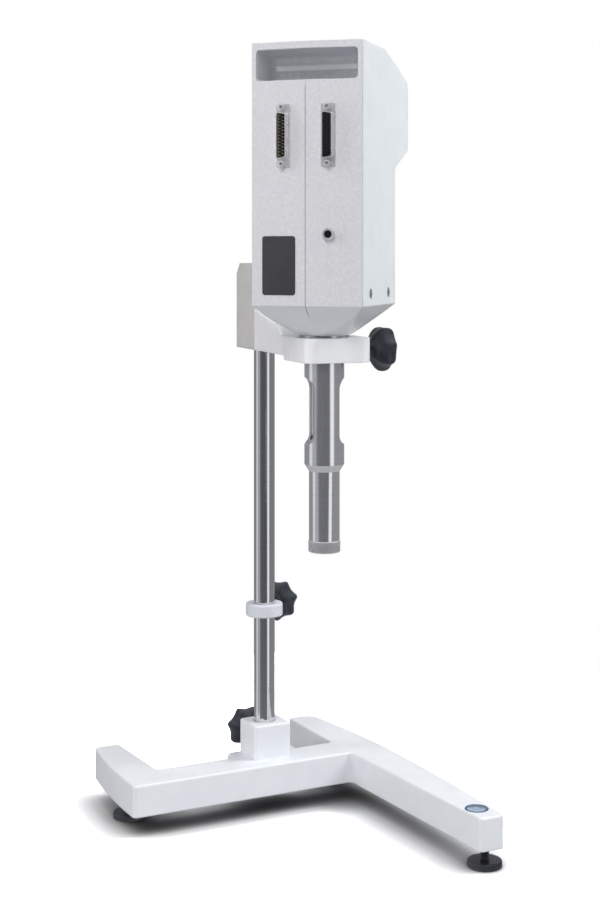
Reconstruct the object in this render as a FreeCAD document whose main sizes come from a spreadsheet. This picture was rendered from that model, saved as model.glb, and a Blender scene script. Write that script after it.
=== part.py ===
import FreeCAD
import Part
import Sketcher
import math
import os
from types import SimpleNamespace

# Rotational viscometer on a bench stand. Millimetres, +Z up, the bench is z = 0 and the origin
# lies under the middle of the base. The long leg of the base points to -Y.
# The base, column and collar are drawn about the column's axis, the arm about the same axis but
# turned with it, and the head about the axis of its measuring tube, with its hood to local +Y.

SIZES = {
    # Base casting, from the column's axis
    "base_left": 148.3,
    "base_right": 112.5,
    "base_front": 250.5,
    "base_rear": 94.0,
    "base_underside": 18.5,
    "base_thickness": 28.5,
    "bar_depth": 37.5,
    "long_leg_inside": 74.5,
    "long_leg_toe_inside": 79.7,
    "long_leg_toe_outside": 104.0,
    "right_heel_inside": 73.7,
    "right_heel_outside": 100.7,
    "left_heel_inside": 113.0,
    "left_heel_outside": 137.6,
    "left_leg_root": 110.5,
    "left_heel_rear": 91.0,
    "bow_depth": 2.2,
    "lug_half": 34.0,
    "lug_depth": 16.0,
    "heel_round": 14.0,
    "toe_round": 4.0,
    "root_round": 5.0,
    "lug_round": 8.0,
    "casting_edge_round": 1.8,
    "boss_half": 19.0,
    "boss_front": 19.0,
    "boss_rear": 15.5,
    "boss_height": 31.5,
    "boss_round": 3.0,
    "bore_floor": 6.0,
    "mouth_chamfer": 0.6,
    # Feet, two under the right leg and one under the left
    "foot_radius": 15.0,
    "foot_thickness": 6.0,
    "foot_chamfer": 1.0,
    "foot_stud_radius": 4.0,
    "foot_stud_end_round": 0.8,
    "foot_engagement": 13.0,
    "front_foot_side_inset": 10.0,
    "front_foot_end_inset": 15.5,
    "rear_foot_side_inset": 16.7,
    "rear_foot_end_inset": 20.0,
    "left_foot_side_inset": 18.3,
    "left_foot_y": 20.0,
    # Level in the toe of the long leg
    "level_side_inset": 12.6,
    "level_end_inset": 24.0,
    "level_radius": 10.0,
    "level_depth": 9.0,
    "level_wall": 1.2,
    "level_floor": 2.2,
    "level_glass_thickness": 2.0,
    # Column and the fits on it
    "rod_radius": 10.0,
    "rod_length": 495.0,
    "rod_chamfer": 1.0,
    "running_clearance": 0.05,
    "tip_gap": 0.1,
    "touch_gap": 0.3,
    # Star knobs and their screws
    "knob_radius": 20.0,
    "knob_length": 26.0,
    "knob_head": 12.0,
    "knob_crown": 2.2,
    "knob_crown_radius": 12.5,
    "knob_dimple_radius": 5.0,
    "knob_dimple_depth": 0.8,
    "hub_radius": 8.4,
    "hub_flare": 3.0,
    "scallop_radius": 6.2,
    "scallop_distance": 22.4,
    "lobe_round": 2.4,
    "knob_edge_round": 1.2,
    "knob_hole_depth": 12.0,
    "clamp_screw_radius": 4.0,
    "base_screw_rise": 15.0,
    "base_knob_start": 21.0,
    # Stop collar
    "collar_bottom": 178.5,
    "collar_thickness": 12.0,
    "collar_radius": 17.5,
    "collar_chamfer": 1.0,
    "collar_screw_radius": 3.0,
    "collar_knob_start": 23.0,
    "collar_turn": -45.0,
    # Column clamp block and support arm
    "arm_turn": -7.9,
    "arm_reach": 164.0,
    "block_bottom": 434.0,
    "block_height": 80.5,
    "block_half": 22.0,
    "block_front": 38.0,
    "block_rear": 18.0,
    "block_rear_chamfer": 10.0,
    "arm_screw_rise": 56.0,
    "arm_knob_start": 24.0,
    "neck_half": 22.5,
    "neck_root_height": 38.5,
    "neck_shoulder": 100.0,
    "neck_shoulder_drop": 12.8,
    "neck_meets_ring": 113.0,
    "shoulder_bow_forward": 1.5,
    "shoulder_bow_up": 1.0,
    "cheek_lap": 2.0,
    "ring_drop": 3.5,
    "ring_height": 21.0,
    "ring_front": 24.0,
    "ring_rear": 36.0,
    "ring_left": 24.5,
    "ring_right": 36.4,
    "ring_front_left_round": 9.5,
    "ring_front_right_round": 12.0,
    "ring_top_round": 1.5,
    "fixing_screw_radius": 3.0,
    "fixing_head_radius": 5.0,
    "fixing_head_height": 6.0,
    "fixing_screw_offset": 14.0,
    "fixing_screw_height": 16.0,
    "fixing_engagement": 12.0,
    "head_screw_rise": 10.5,
    # Head: neck and lower housing
    "head_turn": -45.5,
    "neck_radius": 18.0,
    "flange_radius": 21.55,
    "flange_thickness": 2.2,
    "spigot_radius": 15.0,
    "spigot_clearance": 0.1,
    "spigot_length": 16.0,
    "bush_radius": 8.0,
    "lower_housing_half": 22.0,
    "lower_housing_height": 25.8,
    "funnel_radius": 75.0,
    "funnel_floor": 3.0,
    "rim_width": 8.0,
    "shaft_opening": 9.0,
    # Head: covers
    "head_half": 48.3,
    "head_ridge": 53.8,
    "panel_angle": 4.5,
    "head_height": 221.0,
    "head_front": 55.6,
    "hood_front": 101.8,
    "brow_drop": 21.7,
    "hood_height": 60.8,
    "hood_slope_drop": 18.7,
    "roof_front": 22.5,
    "cover_wall": 2.5,
    "roof_round": 25.0,
    "brow_round": 9.0,
    "hood_edge_round": 3.0,
    "hood_root_round": 4.0,
    # Grip recess in the rear cover
    "grip_half": 44.5,
    "grip_drop": 6.0,
    "grip_height": 26.0,
    "grip_depth": 46.0,
    "grip_round": 3.0,
    "grip_wall": 1.3,
    "grip_draft": 3.0,
    "grip_back_round": 8.0,
    # Connectors on the rear panels
    "dsub_offset": 19.5,
    "dsub_drop": 78.5,
    "dsub_flange_length": 53.04,
    "dsub_flange_width": 12.55,
    "dsub_flange_thickness": 0.9,
    "dsub_flange_round": 2.0,
    "dsub_shell_length": 38.96,
    "dsub_shell_width": 8.36,
    "dsub_shell_taper": 1.47,
    "dsub_shell_wall": 0.5,
    "dsub_protrusion": 6.9,
    "dsub_body_length": 40.6,
    "dsub_body_width": 10.6,
    "dsub_body_depth": 8.5,
    "dsub_jack_spacing": 47.04,
    "dsub_jack_flat": 5.0,
    "dsub_jack_length": 6.0,
    "dsub_jack_bore": 1.3,
    "dsub_jack_stem": 1.5,
    "dsub_pitch": 2.76,
    "dsub_row_offset": 1.42,
    "dsub_pin_radius": 0.5,
    "dsub_socket_radius": 0.65,
    "dsub_socket_depth": 4.0,
    "cutout_clearance": 0.3,
    "round_socket_offset": 19.9,
    "round_socket_rise": 60.2,
    "round_socket_radius": 5.0,
    "round_socket_protrusion": 4.5,
    "round_socket_pin_setback": 1.0,
    "round_socket_wall": 1.0,
    "round_socket_neck": 4.4,
    "round_socket_neck_length": 8.0,
    # Label plate and side screws
    "label_offset": 23.85,
    "label_width": 29.9,
    "label_rise": 9.4,
    "label_height": 49.4,
    "label_thickness": 0.5,
    "label_round": 2.5,
    "side_screw_rise": 10.5,
    "side_screw_rear": -24.0,
    "side_screw_front": 33.0,
    "side_screw_radius": 2.0,
    "side_screw_head": 4.4,
    "side_screw_head_depth": 2.3,
    "side_screw_length": 6.0,
    "side_screw_socket": 1.3,
    # Display and keys on the front of the hood
    "window_rise": 36.0,
    "window_half_width": 33.0,
    "window_half_height": 12.0,
    "window_thickness": 1.5,
    "window_lip": 2.0,
    "module_half_width": 36.0,
    "module_half_height": 14.0,
    "board_setback": 12.2,
    "board_thickness": 1.6,
    "chip_height": 2.4,
    "front_board_half_width": 42.0,
    "front_board_rise": 3.0,
    "front_board_height": 47.0,
    "key_rise": 11.0,
    "key_radius": 4.8,
    "key_clearance": 0.3,
    "key_spacing": 14.0,
    "key_proud": 1.5,
    "key_flange": 1.2,
    "key_flange_thickness": 1.2,
    "key_stem_radius": 2.0,
    "key_travel": 1.0,
    "switch_height": 3.0,
    # Chassis, drive and boards
    "chassis_thickness": 3.0,
    "chassis_rear": 42.0,
    "chassis_front": 47.0,
    "chassis_flange_height": 18.0,
    "chassis_hole": 12.0,
    "sensor_radius": 21.0,
    "sensor_height": 31.5,
    "sensor_step": 3.0,
    "mount_radius": 31.0,
    "mount_height": 34.5,
    "mount_plate": 3.0,
    "mount_post_radius": 3.0,
    "mount_post_circle": 27.0,
    "motor_radius": 18.0,
    "gearbox_height": 25.0,
    "motor_height": 60.0,
    "shaft_radius": 3.0,
    "shaft_clearance": 0.1,
    "shaft_joint_rise": 18.5,
    "shaft_in_motor": 4.0,
    "coupling_radius": 6.5,
    "coupling_half_length": 8.0,
    "main_board_half": 38.0,
    "main_board_setback": 43.0,
    "main_board_height": 107.5,
    "rear_board_half": 30.0,
    "rear_board_setback": 36.4,
    "rear_board_height": 167.5,
    # Measuring tube, cap and bob
    "tube_turn": 28.0,
    "tube_radius": 17.2,
    "tube_bore": 12.2,
    "tube_shoulder_drop": 87.8,
    "tube_step": 6.0,
    "lower_tube_radius": 13.25,
    "tube_length": 153.2,
    "window_flat": 10.7,
    "tube_window_drop": 23.5,
    "tube_window_length": 38.8,
    "window_upper_run": 10.7,
    "window_lower_run": 8.6,
    "cap_radius": 13.8,
    "cap_height": 10.3,
    "cap_chamfer": 1.0,
    "cap_plug_height": 6.5,
    "cap_recess": 8.0,
    "bob_radius": 11.25,
    "bob_rise": 9.7,
    "bob_height": 50.0,
    "bob_cone": 3.0,
}

doc = FreeCAD.newDocument("viscometer")
sheet = doc.addObject("Spreadsheet::Sheet", "Sizes")
for row, (alias, value) in enumerate(SIZES.items(), start=1):
    sheet.set(f"A{row}", alias)
    sheet.set(f"B{row}", str(value))
    sheet.setAlias(f"B{row}", alias)
doc.recompute()


class Term:
    """A length or angle: its number, and the expression over the sheet that gives it."""

    def __init__(self, number, text):
        self.number = number
        self.text = text

    def __add__(self, other):
        return Term(self.number + number(other), f"({self.text} + {text(other)})")

    def __radd__(self, other):
        return Term(number(other) + self.number, f"({text(other)} + {self.text})")

    def __sub__(self, other):
        return Term(self.number - number(other), f"({self.text} - {text(other)})")

    def __rsub__(self, other):
        return Term(number(other) - self.number, f"({text(other)} - {self.text})")

    def __mul__(self, other):
        return Term(self.number * number(other), f"({self.text} * {text(other)})")

    def __rmul__(self, other):
        return Term(number(other) * self.number, f"({text(other)} * {self.text})")

    def __truediv__(self, other):
        return Term(self.number / number(other), f"({self.text} / {text(other)})")

    def __neg__(self):
        return Term(-self.number, f"(-{self.text})")


def number(value):
    return value.number if isinstance(value, Term) else float(value)


def text(value):
    return value.text if isinstance(value, Term) else f"({float(value)})"


def sine(angle):
    return Term(math.sin(math.radians(number(angle))), f"sin({text(angle)} * 1 deg)")


def cosine(angle):
    return Term(math.cos(math.radians(number(angle))), f"cos({text(angle)} * 1 deg)")


def tangent(angle):
    return Term(math.tan(math.radians(number(angle))), f"tan({text(angle)} * 1 deg)")


def root(value):
    return Term(math.sqrt(number(value)), f"sqrt({text(value)})")


def long_side(run, rise):
    """The sloping length over a run and a rise."""
    return root(run * run + rise * rise)


size = SimpleNamespace(**{alias: Term(value, f"Sizes.{alias}") for alias, value in SIZES.items()})


def bind(target, name, value):
    target.setExpression(name, text(value))


def place(target, x, y, z=0, turn=0):
    """Put an object at (x, y, z), turned about the vertical."""
    spot = f"vector({text(x)}; {text(y)}; {text(z)})"
    target.setExpression("Placement", f"placement({spot}; vector(0; 0; 1); {text(turn)})")


def new_body(name):
    body = doc.addObject("PartDesign::Body", name)
    body.Label = name
    return body


def sketch_on(body, role, offset=0):
    """A sketch on one of the body's own planes. XZ_Plane looks to -Y and YZ_Plane to +X."""
    plane = [feature for feature in body.Origin.OriginFeatures if feature.Role == role][0]
    sketch = body.newObject("Sketcher::SketchObject", body.Name + "_sketch")
    sketch.AttachmentSupport = (plane, [""])
    sketch.MapMode = "FlatFace"
    bind(sketch, "AttachmentOffset.Base.z", offset)
    return sketch


def fix(sketch, geometry, point, x, y):
    """Hold a point of the sketch at (x, y) from the sketch's origin."""
    for kind, value in (("DistanceX", x), ("DistanceY", y)):
        index = sketch.addConstraint(
            Sketcher.Constraint(kind, -1, 1, geometry, point, number(value)))
        if isinstance(value, Term):
            bind(sketch, f"Constraints[{index}]", value)


def draw(sketch, corners):
    """A closed outline. A corner is (x, y), or (x, y, via_x, via_y) when an arc leads to it."""
    edges = []
    for index, corner in enumerate(corners):
        before = corners[index - 1]
        start = FreeCAD.Vector(number(before[0]), number(before[1]), 0)
        end = FreeCAD.Vector(number(corner[0]), number(corner[1]), 0)
        if len(corner) == 2:
            edges.append((sketch.addGeometry(Part.LineSegment(start, end), False), 1, 2))
            continue
        via = FreeCAD.Vector(number(corner[2]), number(corner[3]), 0)
        arc = sketch.addGeometry(Part.Arc(start, via, end), False)
        forward = sketch.getPoint(arc, 1).distanceToPoint(start) < 1e-6
        edges.append((arc, 1, 2) if forward else (arc, 2, 1))
        middle = sketch.addGeometry(Part.Point(via), True)
        fix(sketch, middle, 1, corner[2], corner[3])
        sketch.addConstraint(Sketcher.Constraint("PointOnObject", middle, 1, arc))
    for index, (geometry, start, end) in enumerate(edges):
        last = edges[index - 1]
        sketch.addConstraint(
            Sketcher.Constraint("Coincident", last[0], last[2], geometry, start))
        fix(sketch, geometry, end, corners[index][0], corners[index][1])


def circle(sketch, x, y, radius):
    centre = FreeCAD.Vector(number(x), number(y), 0)
    ring = Part.Circle(centre, FreeCAD.Vector(0, 0, 1), number(radius))
    geometry = sketch.addGeometry(ring, False)
    fix(sketch, geometry, 3, x, y)
    index = sketch.addConstraint(Sketcher.Constraint("Radius", geometry, number(radius)))
    bind(sketch, f"Constraints[{index}]", radius)


def rectangle(sketch, left, bottom, right, top):
    draw(sketch, [(left, bottom), (right, bottom), (right, top), (left, top)])


def rounded_rectangle(sketch, half, bottom, top, corner):
    """A rectangle with arc corners, even about the sketch's upright axis."""
    bend = corner * (1 - math.sqrt(0.5))
    draw(sketch, [
        (half - corner, bottom),
        (half, bottom + corner, half - bend, bottom + bend),
        (half, top - corner),
        (half - corner, top, half - bend, top - bend),
        (corner - half, top),
        (-half, top - corner, bend - half, top - bend),
        (-half, bottom + corner),
        (corner - half, bottom, bend - half, bottom + bend)])


def pad(sketch, length, both_ways=False, reverse=False, taper=0):
    feature = sketch.getParentGeoFeatureGroup().newObject("PartDesign::Pad", sketch.Name + "_pad")
    feature.Profile = sketch
    feature.SideType = "Symmetric" if both_ways else "One side"
    feature.Reversed = reverse
    bind(feature, "Length", length)
    bind(feature, "TaperAngle", taper)
    doc.recompute()
    return feature


def pocket(sketch, depth=None, both_ways=False, reverse=False):
    """Cut the sketch's outline away, right through where no depth is given."""
    feature = sketch.getParentGeoFeatureGroup().newObject(
        "PartDesign::Pocket", sketch.Name + "_pocket")
    feature.Profile = sketch
    feature.SideType = "Symmetric" if both_ways else "One side"
    feature.Reversed = reverse
    if depth is None:
        feature.Type = "ThroughAll"
    else:
        bind(feature, "Length", depth)
    doc.recompute()
    return feature


def revolve(sketch):
    """Turn the outline about the sketch's upright axis."""
    feature = sketch.getParentGeoFeatureGroup().newObject(
        "PartDesign::Revolution", sketch.Name + "_turned")
    feature.Profile = sketch
    feature.ReferenceAxis = (sketch, ["V_Axis"])
    feature.Angle = 360
    doc.recompute()
    return feature


def turned(name, profile):
    """A lathe part on the vertical axis; the profile's corners are (radius, height)."""
    body = new_body(name)
    draw(sketch_on(body, "XZ_Plane"), profile)
    revolve(body.Group[-1])
    return body


def soften(body, kind, amount, chosen):
    """Fillet or chamfer the edges of the body for which chosen(edge) is true."""
    tip = body.Tip
    names = [f"Edge{index}" for index, edge in enumerate(tip.Shape.Edges, start=1)
             if not edge.Degenerated and chosen(edge)]
    if not names:
        raise RuntimeError(f"{body.Label}: no edge to soften")
    feature = body.newObject("PartDesign::" + kind, body.Name + "_" + kind.lower())
    feature.Base = (tip, names)
    bind(feature, "Radius" if kind == "Fillet" else "Size", amount)
    doc.recompute()


def near(first, second):
    return abs(number(first) - number(second)) < 0.01


def is_line(edge, direction):
    return isinstance(edge.Curve, Part.Line) and abs(edge.Curve.Direction.dot(direction)) > 0.999


def uprights(*corners):
    """Chooses the vertical edges at the given (x, y) corners."""
    def chosen(edge):
        box = edge.BoundBox
        standing = is_line(edge, FreeCAD.Vector(0, 0, 1))
        return standing and any(near(box.XMin, x) and near(box.YMin, y) for x, y in corners)
    return chosen


def flat_at(height):
    """Chooses the edges that lie level at a height."""
    return lambda edge: near(edge.BoundBox.ZMin, height) and near(edge.BoundBox.ZMax, height)


def across(y, z):
    """Chooses the edges along X at a given (y, z)."""
    def chosen(edge):
        box = edge.BoundBox
        return is_line(edge, FreeCAD.Vector(1, 0, 0)) and near(box.YMin, y) and near(box.ZMin, z)
    return chosen


def bore_edge(radius, height):
    """Chooses the round edge of a vertical bore at a height."""
    level = flat_at(height)
    return lambda edge: level(edge) and isinstance(edge.Curve, Part.Circle) \
        and near(edge.Curve.Radius, radius)


# Where the frames of the stand and of the head lie
column_x = (size.base_left - size.base_right) / 2
column_y = (size.base_front - size.base_rear) / 2
base_top = size.base_underside + size.base_thickness
bore_bottom = size.base_underside + size.bore_floor
bore_radius = size.rod_radius + size.running_clearance
head_x = column_x + size.arm_reach * sine(size.arm_turn)
head_y = column_y - size.arm_reach * cosine(size.arm_turn)
base_screw_height = base_top + size.base_screw_rise
collar_height = size.collar_bottom + size.collar_thickness / 2
arm_screw_height = size.block_bottom + size.arm_screw_rise
ring_bottom = size.block_bottom - size.ring_drop
ring_top = ring_bottom + size.ring_height
head_screw_height = ring_bottom + size.head_screw_rise
housing_seat = ring_top + size.flange_thickness
head_bottom = housing_seat + size.lower_housing_height
head_top = head_bottom + size.head_height
hood_brow = head_top - size.brow_drop
hood_underside = hood_brow - size.hood_height
hood_root = hood_underside - size.hood_slope_drop
grip_top = head_top - size.grip_drop
grip_bottom = grip_top - size.grip_height
dsub_height = head_top - size.dsub_drop
side_screw_height = head_bottom + size.side_screw_rise
window_height = hood_underside + size.window_rise
key_height = hood_underside + size.key_rise
shaft_joint = ring_top + size.shaft_joint_rise
tube_end = ring_bottom - size.tube_length


def on_head(x, y):
    """A point of the head's own frame, in the object's frame."""
    along_x = head_x + x * cosine(size.head_turn) - y * sine(size.head_turn)
    along_y = head_y + x * sine(size.head_turn) + y * cosine(size.head_turn)
    return along_x, along_y


def ridge_line(x, inset=0):
    """How far back (local -Y) the rear cover's outer face reaches at a distance from its ridge."""
    return x * tangent(size.panel_angle) - size.head_ridge + inset


# Base casting: a bar with a lug and a boss for the column, a long leg and two short rear legs

def base_casting():
    body = new_body("base_casting")
    plan = sketch_on(body, "XY_Plane", size.base_underside)
    mid_front = -(size.base_front + size.bar_depth) / 2
    draw(plan, [
        (size.long_leg_toe_inside, -size.base_front),
        (size.long_leg_toe_outside, -size.base_front),
        (size.base_right, -size.bar_depth,
         (size.long_leg_toe_outside + size.base_right) / 2 + size.bow_depth, mid_front),
        (size.right_heel_outside, size.base_rear,
         (size.base_right + size.right_heel_outside) / 2 + size.bow_depth, size.base_rear / 4),
        (size.right_heel_inside, size.base_rear),
        (size.right_heel_inside, 0),
        (size.lug_half, 0),
        (size.lug_half, size.lug_depth),
        (-size.lug_half, size.lug_depth),
        (-size.lug_half, 0),
        (-size.left_leg_root, 0),
        (-size.left_heel_inside, size.left_heel_rear),
        (-size.left_heel_outside, size.left_heel_rear),
        (-size.base_left, -size.bar_depth / 2,
         -(size.left_heel_outside + size.base_left) / 2 - size.bow_depth,
         size.left_heel_rear / 2 - size.bar_depth / 4),
        (-size.base_left, -size.bar_depth),
        (size.long_leg_inside, -size.bar_depth),
    ])
    pad(plan, size.base_thickness)
    soften(body, "Fillet", size.heel_round, uprights((size.right_heel_outside, size.base_rear)))
    soften(body, "Fillet", size.toe_round, uprights(
        (size.long_leg_toe_inside, -size.base_front),
        (size.long_leg_toe_outside, -size.base_front),
        (size.right_heel_inside, size.base_rear),
        (-size.left_heel_inside, size.left_heel_rear),
        (-size.left_heel_outside, size.left_heel_rear),
        (-size.base_left, -size.bar_depth)))
    soften(body, "Fillet", size.root_round, uprights(
        (size.right_heel_inside, 0), (-size.left_leg_root, 0),
        (size.long_leg_inside, -size.bar_depth)))
    soften(body, "Fillet", size.lug_round, uprights(
        (size.lug_half, size.lug_depth), (-size.lug_half, size.lug_depth)))
    soften(body, "Fillet", size.casting_edge_round, flat_at(base_top))
    boss = sketch_on(body, "XY_Plane", bore_bottom)
    rounded_rectangle(boss, size.boss_half, -size.boss_front, size.boss_rear, size.boss_round)
    boss_top = base_top + size.boss_height
    pad(boss, boss_top - bore_bottom)
    soften(body, "Fillet", size.casting_edge_round, flat_at(boss_top))
    bore = sketch_on(body, "XY_Plane", boss_top)
    circle(bore, 0, 0, bore_radius)
    pocket(bore, boss_top - bore_bottom)
    soften(body, "Chamfer", size.mouth_chamfer, bore_edge(bore_radius, boss_top))
    screw_hole = sketch_on(body, "XZ_Plane", -size.lug_depth)
    circle(screw_hole, 0, base_screw_height,
           size.clamp_screw_radius + size.running_clearance)
    pocket(screw_hole, size.lug_depth, reverse=True)
    recess = sketch_on(body, "XY_Plane", base_top)
    circle(recess, *level_spot, size.level_radius + size.touch_gap)
    pocket(recess, size.level_depth)
    stud_holes = sketch_on(body, "XY_Plane", size.base_underside)
    for x, y in foot_spots.values():
        circle(stud_holes, x, y, size.foot_stud_radius + size.running_clearance)
    pocket(stud_holes, size.foot_engagement + size.touch_gap, reverse=True)
    place(body, column_x, column_y)
    return body


foot_spots = {
    "front_foot": (size.long_leg_toe_outside - size.front_foot_side_inset,
                   size.front_foot_end_inset - size.base_front),
    "rear_foot": (size.right_heel_outside - size.rear_foot_side_inset,
                  size.base_rear - size.rear_foot_end_inset),
    "left_foot": (size.left_foot_side_inset - size.base_left, size.left_foot_y),
}
level_spot = (size.long_leg_toe_outside - size.level_side_inset,
              size.level_end_inset - size.base_front)


def levelling_foot(name, x, y):
    """A chamfered disc on the bench and the stud that screws into the casting."""
    edge = size.foot_radius - size.foot_chamfer
    disc = turned(name + "_disc", [
        (0, 0), (edge, 0), (size.foot_radius, size.foot_chamfer),
        (size.foot_radius, size.foot_thickness - size.foot_chamfer),
        (edge, size.foot_thickness), (0, size.foot_thickness)])
    stud_top = size.base_underside + size.foot_engagement
    end_round = size.foot_stud_end_round
    stud = turned(name + "_stud", [
        (0, size.foot_thickness), (size.foot_stud_radius, size.foot_thickness),
        (size.foot_stud_radius, stud_top - end_round),
        (size.foot_stud_radius - end_round, stud_top), (0, stud_top)])
    for piece in (disc, stud):
        place(piece, column_x + x, column_y + y)
    return [disc, stud]


# Level: a cup pressed into the toe, the fluid in it and a domed glass over the fluid

def circular_level():
    inside = size.level_radius - size.level_wall
    floor = base_top - size.level_depth
    rim = base_top + size.level_wall / 3
    glass_under = rim - size.level_glass_thickness
    cup = turned("level_body", [
        (0, floor), (size.level_radius, floor), (size.level_radius, rim), (inside, rim),
        (inside, floor + size.level_floor), (0, floor + size.level_floor)])
    fluid = turned("level_fluid", [
        (0, floor + size.level_floor), (inside, floor + size.level_floor),
        (inside, glass_under), (0, glass_under)])
    glass = turned("level_glass", [
        (0, glass_under), (inside, glass_under), (inside, rim - size.level_wall / 3),
        (inside / 2, rim), (0, rim)])
    for piece in (cup, fluid, glass):
        place(piece, column_x + level_spot[0], column_y + level_spot[1])
    return [cup, fluid, glass]


# Column: one polished rod that stands on the floor of the boss bore

def column_rod():
    top = size.rod_length
    rod = turned("column_rod", [
        (0, 0), (size.rod_radius, 0), (size.rod_radius, top - size.rod_chamfer),
        (size.rod_radius - size.rod_chamfer, top), (0, top)])
    place(rod, column_x, column_y, bore_bottom)
    return rod


# Star knob: seven lobes on a hub, drawn on local +Y from the axis of what it clamps

def clamp_screw(name, tip, end, radius, spot):
    """A grub screw on local +Y from its tip to its end inside the knob."""
    body = new_body(name)
    profile = sketch_on(body, "XY_Plane")
    point = radius / 4
    draw(profile, [(0, tip), (radius - point, tip), (radius, tip + point), (radius, end),
                   (0, end)])
    revolve(profile)
    place(body, *spot)
    return body


def star_knob(name, start, screw_radius, spot):
    body = new_body(name)
    profile = sketch_on(body, "XY_Plane")
    head_start = start + size.knob_length - size.knob_head
    end = start + size.knob_length
    hole_end = start + size.knob_hole_depth
    draw(profile, [
        (screw_radius, start), (size.hub_radius, start),
        (size.hub_radius + size.hub_flare, head_start), (size.knob_radius, head_start),
        (size.knob_radius, end - size.knob_crown),
        (size.knob_crown_radius, end), (size.knob_dimple_radius, end),
        (size.knob_dimple_radius, end - size.knob_dimple_depth),
        (0, end - size.knob_dimple_depth),
        (0, hole_end), (screw_radius, hole_end)])
    revolve(profile)
    scallop = sketch_on(body, "XZ_Plane", -head_start)
    circle(scallop, 0, size.scallop_distance, size.scallop_radius)
    cut = pocket(scallop, size.knob_head + size.knob_crown)
    pattern = body.newObject("PartDesign::PolarPattern", name + "_lobes")
    pattern.Originals = [cut]
    pattern.Axis = (scallop, ["N_Axis"])
    pattern.Angle = 360
    pattern.Occurrences = 7
    body.Tip = pattern
    doc.recompute()

    def lobe_corner(edge):
        middle = edge.CenterOfMass
        reach = math.hypot(middle.x, middle.z)
        return is_line(edge, FreeCAD.Vector(0, 1, 0)) and near(reach, size.knob_radius)

    soften(body, "Fillet", size.lobe_round, lobe_corner)

    def back_rim(edge):
        box = edge.BoundBox
        level = near(box.YMin, head_start) and near(box.YMax, head_start)
        middle = edge.CenterOfMass
        return level and math.hypot(middle.x, middle.z) > number(size.hub_radius + size.hub_flare) / 2 \
            and edge.Length < number(size.knob_radius)

    soften(body, "Fillet", size.knob_edge_round, back_rim)
    place(body, *spot)
    return body


def clamp_set(name, start, screw_radius, tip, spot):
    screw_end = start + size.knob_hole_depth
    return [clamp_screw(name + "_screw", tip, screw_end, screw_radius, spot),
            star_knob(name + "_knob", start, screw_radius, spot)]


# Stop collar: a chamfered ring on the rod, tapped for its own clamp screw

def stop_collar():
    top = size.collar_bottom + size.collar_thickness
    inner = bore_radius + size.collar_chamfer / 2
    outer = size.collar_radius - size.collar_chamfer
    body = turned("stop_collar", [
        (inner, size.collar_bottom), (outer, size.collar_bottom),
        (size.collar_radius, size.collar_bottom + size.collar_chamfer),
        (size.collar_radius, top - size.collar_chamfer), (outer, top), (inner, top),
        (bore_radius, top - size.collar_chamfer / 2),
        (bore_radius, size.collar_bottom + size.collar_chamfer / 2)])
    hole = sketch_on(body, "XZ_Plane", -size.collar_radius)
    circle(hole, 0, collar_height,
           size.collar_screw_radius + size.running_clearance)
    pocket(hole, size.collar_radius, reverse=True)
    place(body, column_x, column_y, 0, size.collar_turn)
    return body


# Column clamp block: stands behind the arm and holds the whole head on the rod

fixing_height = size.block_bottom + size.fixing_screw_height
head_seat = size.block_rear - size.fixing_head_height


def column_clamp_block():
    body = new_body("column_clamp_block")
    top = size.block_bottom + size.block_height
    side = sketch_on(body, "YZ_Plane")
    rectangle(side, -size.block_front, size.block_bottom, size.block_rear, top)
    pad(side, size.block_half * 2, both_ways=True)
    soften(body, "Chamfer", size.block_rear_chamfer, across(size.block_rear, top))
    bore = sketch_on(body, "XY_Plane", top)
    circle(bore, 0, 0, bore_radius)
    pocket(bore)
    screw_hole = sketch_on(body, "YZ_Plane", size.block_half)
    circle(screw_hole, 0, arm_screw_height, size.clamp_screw_radius + size.running_clearance)
    pocket(screw_hole, size.block_half)
    counterbore = sketch_on(body, "XZ_Plane", -size.block_rear)
    through = sketch_on(body, "XZ_Plane", -head_seat)
    for offset in (-size.fixing_screw_offset, size.fixing_screw_offset):
        circle(counterbore, offset, fixing_height, size.fixing_head_radius + size.spigot_clearance)
        circle(through, offset, fixing_height, size.fixing_screw_radius + size.running_clearance)
    pocket(counterbore, size.fixing_head_height, reverse=True)
    pocket(through, head_seat + size.block_front, reverse=True)
    place(body, column_x, column_y, 0, size.arm_turn)
    return body


def arm_fixing_screws():
    """Two socket screws through the block into the arm."""
    body = new_body("arm_fixing_screws")
    heads = sketch_on(body, "XZ_Plane", -head_seat)
    sockets = sketch_on(body, "XZ_Plane", -size.block_rear)
    shanks = sketch_on(body, "XZ_Plane", -head_seat)
    for offset in (-size.fixing_screw_offset, size.fixing_screw_offset):
        circle(heads, offset, fixing_height, size.fixing_head_radius)
        circle(sockets, offset, fixing_height, size.fixing_head_radius / 2)
        circle(shanks, offset, fixing_height, size.fixing_screw_radius)
    pad(heads, size.fixing_head_height, reverse=True)
    pad(shanks, head_seat + size.block_front + size.fixing_engagement)
    pocket(sockets, size.fixing_head_height / 2, reverse=True)
    place(body, column_x, column_y, 0, size.arm_turn)
    return body


# Support arm: a sloping neck from the block to the clamp ring that carries the head

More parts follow.
